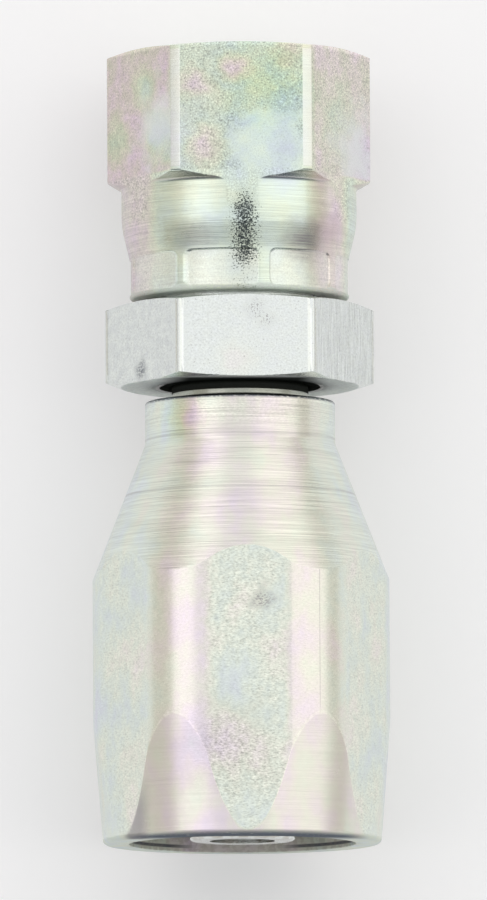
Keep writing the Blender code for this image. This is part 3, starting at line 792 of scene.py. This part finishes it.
# %% [markdown]
# ## Where a point is on its piece
#
# A finish is painted by rules, not by hand, so it starts from what the rules need: the
# station, the distance from the axis, and the numbers stored on the mesh. The trees
# stored whether a point lies on drawn bar, how near to a corner of it, and whether a die
# pressed it. The finished mesh gave how far it faces up, and whether it faces into a bore.

# %% Fields that every finish reads
def noise(vector, scale, detail=2.0, roughness=0.5, distortion=0.0):
    """Noise between 0 and 1, about 0.5 on average."""
    return add(vector.tree, "ShaderNodeTexNoise", "Fac",
               {"Vector": vector, "Scale": scale, "Detail": detail, "Roughness": roughness,
                "Distortion": distortion})


class Surface:
    """Object coordinates in millimetres: x to the right, station along the axis, z up from it."""

    def __init__(self, name):
        self.name = name
        self.tree = FINISHES[name].node_tree
        coordinates = add(self.tree, "ShaderNodeTexCoord", "Object")
        self.place = add(self.tree, "ShaderNodeMapping", "Vector",
                         {"Vector": coordinates, "Scale": (1 / MM, 1 / MM, 1 / MM),
                          "Location": (0.0, -HOSE_END / MM, -AXIS_HEIGHT / MM)})
        self.x, self.station, self.z = split(self.place)
        self.radius = (self.x * self.x + self.z * self.z).math("SQRT")
        self.drawn = self.stored("drawn")
        self.turned = self.drawn.flipped()
        self.corner = self.stored("corner")
        self.up = self.stored("up")
        self.bore = self.stored("bore")

    def stored(self, name):
        return add(self.tree, "ShaderNodeAttribute", "Fac", attribute_name=name)

    def streaks(self, across, along, scale=1.0, **settings):
        """Noise drawn out into rings where it is finer along the axis, or else into lines."""
        squeezed = add(self.tree, "ShaderNodeMapping", "Vector",
                       {"Vector": self.place, "Scale": (across, along, across)})
        return noise(squeezed, scale, **settings)

    def tilted_path(self, path_nm):
        """The film's path where the surface leans away from the top, which shortens it."""
        sine_squared = (self.up * self.up).flipped()
        return (sine_squared * (-1 / FILM_INDEX ** 2) + 1.0).math("SQRT") * path_nm

    def patch(self, centre, size, ragged=0.4):
        """One at a place, fading out to nothing at about the size, with a ragged edge."""
        away = add(self.tree, "ShaderNodeVectorMath", "Value", {0: self.place, 1: centre},
                   operation="DISTANCE")
        edge = noise(self.place, 1.1 / math.sqrt(size), detail=4.0) * (2.0 * ragged * size)
        return (away + edge - ragged * size).step(size, 0.0)

    def patches(self, rows):
        """The sum of some patches, each given as a centre, a size and an amount."""
        total = 0.0
        for centre, size, amount in rows:
            total = self.patch(centre, size) * amount + total
        return total


# %% [markdown]
# ## From fields to a shader
#
# Every finish ends the same way: the film's colour times a tone near one, with stains,
# painted shade and painted highlights over it. Painted shade and painted reflection aren't
# metal. Where they or a dull skin cover the zinc, Metallic falls too, or even black metal
# would mirror the tent at a low angle and look grey.

# %% Put a finish together
RELIEF = 0.02 * MM


def mix_colour(factor, below, above):
    return add(factor.tree, "ShaderNodeMix", 2, {0: factor, 6: below, 7: above}, data_type="RGBA")


def finish_zinc(surface, colour, tone, stains_and_painted_light, rough, height, sooty=None):
    """Fill in a material. Stains are (factor, colour), painted shade and painted highlights among
    them; the last argument says where painted shade, painted reflection or dull skin takes the
    place of metal.
    """
    tree = surface.tree
    shader = tree.nodes["Principled BSDF"]
    shader.inputs["Metallic"].default_value = 1.0
    shade = add(tree, "ShaderNodeVectorMath", "Vector",
                {0: colour, 1: joined(tree, tone, tone, tone)}, operation="MULTIPLY")
    for factor, overlay_colour in stains_and_painted_light:
        shade = mix_colour(factor, shade, (*overlay_colour, 1.0))
    bump = add(tree, "ShaderNodeBump", "Normal",
               {"Strength": 1.0, "Distance": RELIEF, "Height": height})
    fields = {"Base Color": shade, "Roughness": rough, "Normal": bump}
    if sooty is not None:
        fields["Metallic"] = sooty.clamped().flipped()
        fields["Specular IOR Level"] = fields["Metallic"] * 0.5
    for name, field in fields.items():
        tree.links.new(field.socket, shader.inputs[name])
    print(f"{surface.name}: {len(tree.nodes)} nodes, {len(stains_and_painted_light)} stains")


# %% [markdown]
# ## The socket's finish
#
# Turned faces carry fine rings, which the tool left as it moved along. The drawn flats
# have no rings. They are finely speckled, because the acid bath before plating bites the
# grains of the steel. A few stains, where the rinse dried last, break up the flats. Each
# finish is made in four steps: its patterns, the film's path, the tone and the stains.
# Some of the tone and the stains are painted shade, painted highlights and painted reflections.

# %% Patterns of the socket
def socket_patterns():
    """The socket's surface, with the noises and the masks that its finish reads."""
    on = Surface("socket_zinc")
    on.speckle = on.streaks(0.75, 1.5, scale=5.0, detail=2.0, roughness=0.6)
    on.grains = noise(on.place, 1.8, detail=3.0, distortion=0.6)
    on.clouds = on.streaks(1.0, 0.6, scale=0.34, detail=3.0)
    on.lines = on.streaks(0.09, 17.0, detail=1.0)
    on.fine_rings = on.streaks(0.14, 10.0, detail=3.0, roughness=0.7)
    on.broad_rings = on.streaks(0.05, 1.7, detail=3.0)
    on.flat = on.drawn * on.corner.flipped()
    on.grainy = on.flat * (abs(on.up) * 0.6 + 0.4) * (on.clouds.step(0.30, 0.62) * 0.7 + 0.5)
    on.ringed = on.turned * (on.station.step(11.0, 16.0) * 0.8 + 0.2)
    on.inside = on.bore * on.station.step(8.0, 4.0)
    # Painted reflection: the top of the hose end's rim is painted navy, a dark reflection, and
    # stops being metal there.
    rim = on.station.step(0.85, 0.40) * on.radius.step(10.75, 10.85)
    on.sooty = rim * on.station.step(0.42, 0.05) * on.z.step(5.5, 9.5) * on.speckle.step(0.15, 0.40)
    return on


# %% Path and tone of the socket
SOCKET_TOP = 13.2        # the top flat's height above the axis, in millimetres


def socket_path(on):
    path = on.tilted_path(ROSE_NM - 25.0) * on.flat.flipped() + on.flat * (GREEN_NM + 20.0)
    path += on.turned * on.station.step(14.0, 11.0) * 35.0
    path += (on.clouds - 0.5) * 520.0
    path += (on.grains - 0.5) * (on.grainy * 110.0 + on.corner * 70.0)
    return path + on.patches([
        ((3.4, 17.5, SOCKET_TOP), 4.0, 60.0), ((-2.0, 9.5, SOCKET_TOP), 6.0, 150.0),
        ((-2.0, 21.0, SOCKET_TOP), 6.0, -40.0), ((-5.4, 40.4, 7.2), 2.6, 110.0),
        ((-7.4, 39.0, 5.4), 3.0, -90.0), ((-6.0, 19.0, 11.6), 8.0, 50.0)])


def socket_tone(on):
    low_left = on.patch((-2.4, 8.0, SOCKET_TOP), 7.0)
    on_top = abs(on.up).step(0.35, 0.85)
    lines = on.lines.step(0.37, 0.31) * 0.18 - on.lines.step(0.63, 0.69) * 0.30
    # Painted highlight: a light line along the edges of the arched panels.
    arch_edge_highlight = on.drawn.between(0.2, 0.75, 0.1) * on.station.between(3.0, 14.0, 1.0)
    tone = (on.speckle - 0.5) * (on.grainy * 0.95 + low_left * 0.35 + on.corner * 0.3)
    tone += (on.grains - 0.5) * (on.grainy * 0.35 + on.corner * 0.12)
    tone += (on.clouds - 0.5) * on.flat * 0.12 - low_left * 0.11
    tone += (on.fine_rings - 0.5) * on.ringed * 0.75 + (on.broad_rings - 0.5) * on.ringed * 0.16
    # Painted shade: turned faces are a little darker where they face up.
    tone += lines * on.ringed * on_top - on_top * on.turned * 0.05
    tone += arch_edge_highlight * on.grains.step(0.3, 0.6) * 0.09
    tone += (on.speckle - 0.5) * on.station.step(38.5, 40.0) * 0.4
    return tone + 1.0


# %% Stains, painted shade and a painted reflection of the socket
SMUDGE_AND_SHADE = (0.36, 0.35, 0.35)
BLUE_DARK = (0.10, 0.11, 0.14)
NAVY = (0.07, 0.09, 0.15)
DUST = (0.42, 0.38, 0.33)
# Painted shade, nearly black, for deep in the bores and in the gap under the nipple's hexagon.
PAINTED_SHADE_BLACK = (0.015, 0.018, 0.014)


def socket_stains_and_painted_light(on):
    specks = (on.speckle.step(0.38, 0.28) * 0.8 + on.grains.step(0.38, 0.28) * 0.4).clamped()
    spot = on.patch((1.6, 22.5, SOCKET_TOP), 1.7, ragged=0.8) * on.speckle.step(0.44, 0.60)
    spot_end = on.patch((0.9, 21.9, SOCKET_TOP), 1.1, ragged=0.8) * on.speckle.step(0.42, 0.60)
    # Painted shade: a thin dark crescent along the left edge of the lower left arch.
    left_arch_shade = on.x.step(-8.9, -10.2) * on.z.step(6.2, 7.4) * on.station.step(7.0, 2.5) * on.turned
    nick = on.patch((-1.0, 1.8, 12.4), 1.1) * on.speckle.step(0.40, 0.55)
    drawn_line = on.x.between(6.80, 6.85, 0.05) * on.corner * on.station.between(13.0, 26.0, 2.0)
    tool_marks = on.station.between(38.35, 38.5, 0.06) + on.station.between(33.05, 33.2, 0.06)
    # Painted shade on the outer rim of the socket's neck, in the gap under the nipple's hexagon,
    # broken up by the speckle.
    neck_edge_shade = on.station.step(41.70, 41.9) * on.radius.step(8.5, 8.7) * on.speckle.step(0.30, 0.5)
    # Painted shade just inside the mouth, towards both sides.
    mouth_shade = on.inside * on.station.between(0.40, 0.60, 0.1) * abs(on.x).step(3.5, 6.5)
    # Among these, the dark at the left arch, at the neck's rim, in the mouth and deep in the bore
    # is painted shade, and the navy on the rim is a painted reflection.
    return [
        (specks * on.grainy * 0.3, SMUDGE_AND_SHADE), (spot * 0.9, SMUDGE_AND_SHADE), (spot_end * 0.7, SMUDGE_AND_SHADE),
        (left_arch_shade * 0.8, SMUDGE_AND_SHADE), (nick * 0.8, BLUE_DARK), (drawn_line * 0.35, SMUDGE_AND_SHADE),
        (tool_marks * on.fine_rings.step(0.4, 0.6) * on.turned * 0.6, SMUDGE_AND_SHADE),
        (neck_edge_shade * 0.9, BLUE_DARK), (on.sooty * 0.8, NAVY), (mouth_shade * 0.9, BLUE_DARK),
        (on.inside * on.grains.step(0.42, 0.60) * 0.28, DUST),
        (on.bore * on.station.step(1.1, 2.0) * 0.8, PAINTED_SHADE_BLACK)]


# %% Finish the socket
SOCKET_BARE = (0.79, 0.79, 0.785)


def socket_finish():
    on = socket_patterns()
    depth = on.patch((-6.2, 40.0, 6.8), 3.4) * 0.12 + 0.115
    matt = (on.inside + on.station.step(0.55, 0.35)).clamped()
    rough = (on.grains - 0.5) * 0.14 + on.flat * 0.06 + matt * 0.4 + 0.24
    height = on.fine_rings * on.ringed * 0.8 + on.speckle * on.grainy * 0.6
    finish_zinc(on, film_colour(socket_path(on), depth, SOCKET_BARE), socket_tone(on),
                socket_stains_and_painted_light(on), rough, height, on.sooty)


socket_finish()

# %% [markdown]
# ## The nipple's finish
#
# The nipple is the smoothest of the three, almost white. Down in the groove between its
# hexagon and the socket the shade is painted nearly black, and the lit band of the neck
# just above the socket is painted darker.

# %% Patterns of the nipple
def nipple_patterns():
    """The nipple's surface, with the noises and the masks that its finish reads."""
    on = Surface("nipple_zinc")
    on.speckle = noise(on.place, 5.5, detail=2.0, roughness=0.6)
    on.grains = noise(on.place, 1.2, detail=3.0)
    on.lines = on.streaks(6.0, 0.35, detail=2.0)
    on.rings = on.streaks(0.14, 9.0, detail=3.0)
    on.left_face = on.x.step(-6.6, -7.0) * on.station.step(43.0, 44.0)
    on.right_face = on.x.step(6.6, 7.0) * on.station.step(43.0, 44.0)
    # Painted shade: the hexagon's back face near the neck, and the neck's groove with a line below
    # it, sit in the gap above the socket and are painted black.
    above = on.z.between(4.5, 8.6, 2.8) * abs(on.x).step(8.5, 5.0)
    darkness = on.radius.step(7.0, 6.5).math("MAXIMUM", above)
    on.black_face = on.station.step(43.62, 43.57) * on.station.step(43.3, 43.5) * darkness
    on.on_neck = on.radius.step(8.6, 7.6)
    shadow_line = on.station.step(42.5, 42.35) * on.station.step(38.0, 40.0)
    on.black_neck = (on.station.between(42.9, 43.6, 0.1) + shadow_line) * on.on_neck
    return on


# %% Tone, stains and painted shade of the nipple
NECK_BAND_SHADE = (0.30, 0.31, 0.24)
WRENCH_TOP = 11.1        # the same for the nipple's and the nut's top flats


def nipple_tone(on):
    # Painted shade: drawn faces are darker the further they lean away from the top.
    tone = (on.speckle - 0.5) * on.corner.flipped() * 0.5 + (on.up - 1.0) * on.drawn * 0.25
    tone += (on.lines - 0.5) * (on.right_face * 0.7 + on.left_face * 0.1)
    tone += (on.grains - 0.5) * on.left_face * 0.3 + (on.rings - 0.5) * on.turned * 0.3
    return tone + 1.0


def nipple_stains_and_painted_shade(on):
    specks = on.speckle.step(0.52, 0.60)
    left_nicks = on.patch((-9.7, 44.7, 5.6), 1.5) * on.speckle.step(0.42, 0.50)
    # Painted shade over the lit band of the neck, just above the socket.
    dimmed_neck_band = on.station.between(42.4, 42.95, 0.05) * on.on_neck
    dust = on.station.step(9.0, 6.0) * (on.grains.step(0.40, 0.60) * 0.5 + 0.1)
    return [
        (on.speckle.step(0.34, 0.25) * on.drawn * 0.45, SMUDGE_AND_SHADE), (left_nicks * 0.9, BLUE_DARK),
        (on.patch((0.9, 50.0, WRENCH_TOP), 1.6) * specks * 0.9, SMUDGE_AND_SHADE),
        (on.patch((2.1, 48.9, WRENCH_TOP), 1.2) * specks * 0.9, SMUDGE_AND_SHADE),
        (dimmed_neck_band * 0.71, NECK_BAND_SHADE), (dust, DUST),
        (on.black_face * 0.97, PAINTED_SHADE_BLACK), (on.black_neck.clamped() * 0.97, PAINTED_SHADE_BLACK)]


# %% Finish the nipple
NIPPLE_BARE = (0.835, 0.845, 0.84)


def nipple_finish():
    on = nipple_patterns()
    path = (on.grains - 0.5) * 140.0 + (GREEN_NM - 30.0)
    path += on.patches([((-1.0, 45.2, WRENCH_TOP), 2.6, 190.0)])
    facing_hose = on.station.step(43.62, 43.57) * on.radius.step(7.8, 8.6)
    rough = (on.grains - 0.5) * 0.1 + on.right_face * 0.06 + facing_hose * 0.6 + 0.22
    height = on.speckle * on.corner.flipped() * 0.25 + on.rings * on.turned * 0.5
    height += on.lines * on.right_face * 0.5
    finish_zinc(on, film_colour(path, 0.05, NIPPLE_BARE), nipple_tone(on), nipple_stains_and_painted_shade(on),
                rough, height, on.black_face + on.black_neck)


nipple_finish()

# %% [markdown]
# ## The nut's finish
#
# The nut has the thickest film and the most colour. Its flats are speckled and its skirt
# is turned. Along the middle of the top flat the skirt keeps a strip of the bar's black
# skin, which the tool didn't reach. The dies left the pressed marks matt and speckled.

# %% Patterns of the nut
def black_skin(on):
    """The strip of the bar's skin that the skirt keeps, broken up into specks."""
    width = on.station.step(62.0, 59.0) * 0.9 + 1.2
    across = abs(on.x) + (on.grains - 0.5) * 0.8
    along = on.station.step(62.4, 59.4) * (on.station.step(53.4, 55.4) * 0.7 + 0.3)
    strip = across.step(width, 0.0) * along * on.z.step(8.0, 9.0)
    return (on.speckle + strip * 0.27).step(0.62, 0.80) * strip.step(0.0, 0.2)


def nut_patterns():
    """The nut's surface, with the noises and the masks that its finish reads."""
    on = Surface("nut_zinc")
    on.speckle = noise(on.place, 6.2, detail=2.5, roughness=0.6)
    on.grains = noise(on.place, 1.5, detail=3.0, distortion=0.5)
    on.lines = on.streaks(5.0, 0.4, detail=2.0)
    on.clouds = noise(on.place, 0.35, detail=3.0)
    on.fine_rings = on.streaks(0.16, 9.0, detail=4.0, roughness=0.7)
    on.broad_rings = on.streaks(0.05, 1.8, detail=3.0)
    on.pressed = on.stored("pressed")
    on.skirt = on.station.step(63.4, 63.0) * on.radius.step(8.3, 8.5)
    on.flats = on.drawn * on.skirt.flipped()
    on.left_face = on.x.step(-6.2, -7.4) * on.flats
    on.right_face = on.x.step(6.0, 7.0) * on.flats
    on.smooth_corner = on.patch((2.6, 65.2, WRENCH_TOP), 6.0).step(0.2, 0.5) * on.flats
    on.grainy = on.flats * (on.smooth_corner * -0.75 + 1.0) * (on.left_face * -0.45 + 1.0)
    on.black_strip = black_skin(on)
    on.end_band = on.skirt * on.station.step(52.62, 52.38) * on.pressed.flipped()
    return on


# %% Path and tone of the nut
def nut_path(on):
    skirt_tint = on.x.step(5.3, 7.6) - on.x.step(9.2, 10.4) + on.x.step(-7.6, -9.4)
    path = on.flats * 1070.0 + on.left_face * 155.0 + on.right_face * 140.0
    path += (skirt_tint * 165.0 + 1060.0) * on.flats.flipped()
    path += (on.clouds - 0.5) * 260.0 + (on.grains - 0.5) * on.flats * 70.0
    return path + on.patches([
        ((-4.8, 71.3, WRENCH_TOP), 2.4, 190.0), ((-1.0, 72.8, WRENCH_TOP), 2.0, 170.0),
        ((-3.6, 65.0, WRENCH_TOP), 3.0, 150.0), ((4.3, 74.8, WRENCH_TOP), 2.4, 110.0),
        ((4.3, 73.6, WRENCH_TOP), 2.0, 60.0), ((2.4, 65.4, WRENCH_TOP), 6.5, -90.0),
        ((-9.4, 71.4, 6.2), 3.0, -170.0), ((-11.8, 67.0, 1.8), 4.0, -80.0),
        ((-7.6, 67.0, 8.7), 4.0, -250.0), ((9.0, 68.3, 6.6), 6.5, -90.0),
        ((11.8, 65.3, 2.0), 4.0, 170.0)])


def nut_tone(on):
    side_faces = on.left_face + on.right_face
    # Painted shade: the skirt is darker towards both sides, most on the left, and on a band right
    # of the top. Its sides also carry grain and speckle.
    skirt_sides = on.skirt * abs(on.x).step(6.8, 9.2)
    skirt_shade = on.x.step(-6.8, -9.2) + on.x.between(6.2, 7.8, 0.5)
    tone = (on.speckle - 0.5) * (on.grainy * 1.15 + on.pressed * 0.9 + on.skirt * on.drawn * 1.1)
    tone += (on.speckle.step(0.58, 0.70) - on.speckle.step(0.44, 0.32)) * on.grainy * 0.14
    tone += (on.lines - 0.5) * side_faces * 0.12 + (on.grains - 0.5) * side_faces * 0.35
    # Painted shade: the flats are darker the further they lean away from the top.
    tone += (on.clouds - 0.5) * on.flats * 0.25 + (on.up - 1.0) * on.flats * 0.12
    tone += on.station.step(74.9, 75.2) * 0.2 - on.flats * 0.135
    tone += ((on.fine_rings - 0.5) * 0.75 + (on.broad_rings - 0.5) * 0.2) * on.turned
    tone += on.smooth_corner * 0.165 + on.right_face * 0.08 + on.skirt * on.turned * 0.03
    tone += skirt_sides * ((on.grains - 0.5) * 0.45 + (on.speckle - 0.5) * 0.4 - 0.09)
    return tone - on.skirt * skirt_shade * 0.10 + 1.0


# %% Stains, painted highlights and painted shade of the nut
SCALE_SKIN = (0.075, 0.09, 0.09)
END_SKIN = (0.68, 0.72, 0.68)
PALE = (0.76, 0.78, 0.78)
WHITE = (0.84, 0.84, 0.83)
ROSE_SHADE = (0.45, 0.34, 0.34)
ROSE_PALE = (0.55, 0.44, 0.46)


def nut_stains_and_painted_light(on):
    right_pale = on.patch((11.0, 65.4, 3.2), 6.5, ragged=0.7) * on.flats
    left_pale = on.patch((-7.8, 67.4, 8.3), 6.0, ragged=0.7) * on.flats
    # Painted highlights on the turned corner strips of the hexagon.
    strips = on.turned * on.station.between(63.6, 74.6, 0.2) * on.radius.step(11.8, 12.1)
    right_smudge = on.patch((5.6, 56.6, 9.0), 3.4) * (on.fine_rings.step(0.35, 0.6) * 0.6 + 0.4)
    left_smudge = on.patch((-4.6, 56.8, 9.8), 3.0) * (on.fine_rings.step(0.35, 0.6) * 0.4 + 0.2)
    # The rose band where the skirt meets the hexagon is painted shade in that crease.
    return [
        (on.speckle.step(0.42, 0.32) * on.grainy * 0.35, SMUDGE_AND_SHADE), (on.pressed * 0.35, WHITE),
        (on.black_strip, SCALE_SKIN), (on.end_band * on.speckle.step(0.62, 0.44) * 0.85, END_SKIN),
        (right_pale * 0.9, PALE), (left_pale * 0.7, PALE), (strips * 0.6, WHITE),
        (on.turned * on.station.between(62.5, 63.0, 0.15) * 0.4, ROSE_SHADE),
        (on.patch((8.6, 57.6, 7.2), 3.6) * 0.6, ROSE_PALE),
        (right_smudge, SMUDGE_AND_SHADE), (left_smudge, SMUDGE_AND_SHADE)]


# %% Finish the nut
NUT_BARE = (0.785, 0.785, 0.78)


def nut_finish():
    on = nut_patterns()
    depth = on.patch((2.5, 71.5, WRENCH_TOP), 6.5) * 0.14 + on.left_face * 0.05 + 0.18
    rough = (on.grains - 0.5) * 0.16 + on.black_strip * 0.2 + on.end_band * 0.3
    rough += on.pressed * 0.06 + 0.24
    height = on.fine_rings * on.turned * 0.8 + on.speckle * on.grainy * 0.6
    height += on.speckle * (on.black_strip + on.end_band + on.pressed * 0.35) * 2.0
    finish_zinc(on, film_colour(nut_path(on), depth, NUT_BARE), nut_tone(on), nut_stains_and_painted_light(on),
                rough, height, on.end_band * 0.6)


nut_finish()

# %% [markdown]
# ## The threads' finish
#
# Threads are cut after the bar is turned and plated with the rest. They are seen only
# deep in the bores and when the fitting is unscrewed, so one plain, yellowish finish
# serves all three.

# %% Finish the threads
THREAD_BARE = (0.82, 0.82, 0.81)


def thread_finish():
    on = Surface("thread_zinc")
    grains = noise(on.place, 1.5, detail=3.0)
    path = (grains - 0.5) * 300.0 + YELLOW_NM
    rough = (grains - 0.5) * 0.15 + 0.28
    finish_zinc(on, film_colour(path, 0.12, THREAD_BARE), grains * 0.3 + 0.85, [], rough, grains)


thread_finish()

# %% [markdown]
# ## Floor, light and camera
#
# The fitting lies on a pale sheet in a light tent. Bare metal shows mostly what stands
# round it, so the tent matters as much as the finish: it is bright in two broad bands,
# one on each side, a little less bright overhead, dimmer low down at the sides, and dark
# past the hose end. The world holds the tent as a rule on direction. Light Path shows the
# camera a plain pale wall instead, and lifts the sheet for it and for reflections only, so
# that neither changes how the fitting is lit from the tent.

# %% Floor
LIFT = 0.255


def shiny_or_seen(tree):
    """One for rays from the camera, and for rays that metal or glass sends on."""
    camera, glossy, passed = [add(tree, "ShaderNodeLightPath", f"Is {kind} Ray")
                              for kind in ("Camera", "Glossy", "Transmission")]
    return camera.math("MAXIMUM", glossy).math("MAXIMUM", passed)


def make_floor():
    mesh = bpy.data.meshes.new("floor")
    half = 1.5
    corners = [(-half, -half, 0.0), (half, -half, 0.0), (half, half, 0.0), (-half, half, 0.0)]
    mesh.from_pydata(corners, [], [(0, 1, 2, 3)])
    floor = bpy.data.objects.new("floor", mesh)
    bpy.context.scene.collection.objects.link(floor)
    paper = bpy.data.materials.new("paper")
    paper.use_nodes = True
    tree = paper.node_tree
    shader = tree.nodes["Principled BSDF"]
    shader.inputs["Base Color"].default_value = (0.80, 0.80, 0.81, 1.0)
    shader.inputs["Roughness"].default_value = 0.9
    shader.inputs["Specular IOR Level"].default_value = 0.1
    shader.inputs["Emission Color"].default_value = (1.0, 1.0, 1.0, 1.0)
    tree.links.new((shiny_or_seen(tree) * LIFT).socket, shader.inputs["Emission Strength"])
    mesh.materials.append(paper)


make_floor()

# %% The tent, as a rule on direction
OVERHEAD = (0.98, 0.98, 0.98)
LEFT_BOX = (1.29, 1.26, 1.26)
RIGHT_BOX = (1.20, 1.18, 1.14)
LOW_SIDE = (0.74, 0.71, 0.66)
HOSE_SIDE = (0.18, 0.19, 0.21)
WALL_SEEN = (0.90, 0.90, 0.91)


def make_room():
    world = bpy.data.worlds.new("light_tent")
    bpy.context.scene.world = world
    world.use_nodes = True
    tree = world.node_tree
    x, along, up = split(add(tree, "ShaderNodeTexCoord", "Generated"))
    lean = x.math("ARCTAN2", up) * (180 / math.pi)
    to_left = -lean
    low = to_left.step(55.5, 60.0) + lean.step(66.0, 78.0)
    colour = mix_colour(to_left.between(29.0, 55.5, 4.0), (*OVERHEAD, 1.0), (*LEFT_BOX, 1.0))
    colour = mix_colour(lean.between(21.0, 66.0, 8.0), colour, (*RIGHT_BOX, 1.0))
    colour = mix_colour(low.clamped(), colour, (*LOW_SIDE, 1.0))
    dark_end = (-along - up * 0.15).step(0.0, 0.5)
    colour = mix_colour(dark_end, colour, (*HOSE_SIDE, 1.0))
    seen = add(tree, "ShaderNodeLightPath", "Is Camera Ray")
    colour = mix_colour(seen, colour, (*WALL_SEEN, 1.0))
    tree.links.new(colour.socket, tree.nodes["Background"].inputs["Color"])


make_room()

# %% The camera, at the photograph's place
CAMERA_DISTANCE = 1424.7 * MM
CAMERA_TILT_DEG = (5.735, -2.723, -0.037)
CAMERA_LENS_MM = 599.1
AIM = Vector((0.31 * MM, -0.10 * MM, AXIS_HEIGHT - 0.05 * MM))


def make_camera():
    data = bpy.data.cameras.new("camera")
    data.sensor_width = 36.0
    data.lens = CAMERA_LENS_MM
    camera = bpy.data.objects.new("camera", data)
    bpy.context.scene.collection.objects.link(camera)
    tilt = Matrix.Identity(4)
    for degrees, axis in zip(CAMERA_TILT_DEG, "XYZ"):
        tilt = tilt @ Matrix.Rotation(math.radians(degrees), 4, axis)
    back = Matrix.Translation((0.0, 0.0, CAMERA_DISTANCE))
    camera.matrix_world = Matrix.Translation(AIM) @ tilt @ back
    bpy.context.scene.camera = camera


make_camera()
bpy.context.scene.view_settings.view_transform = "Standard"
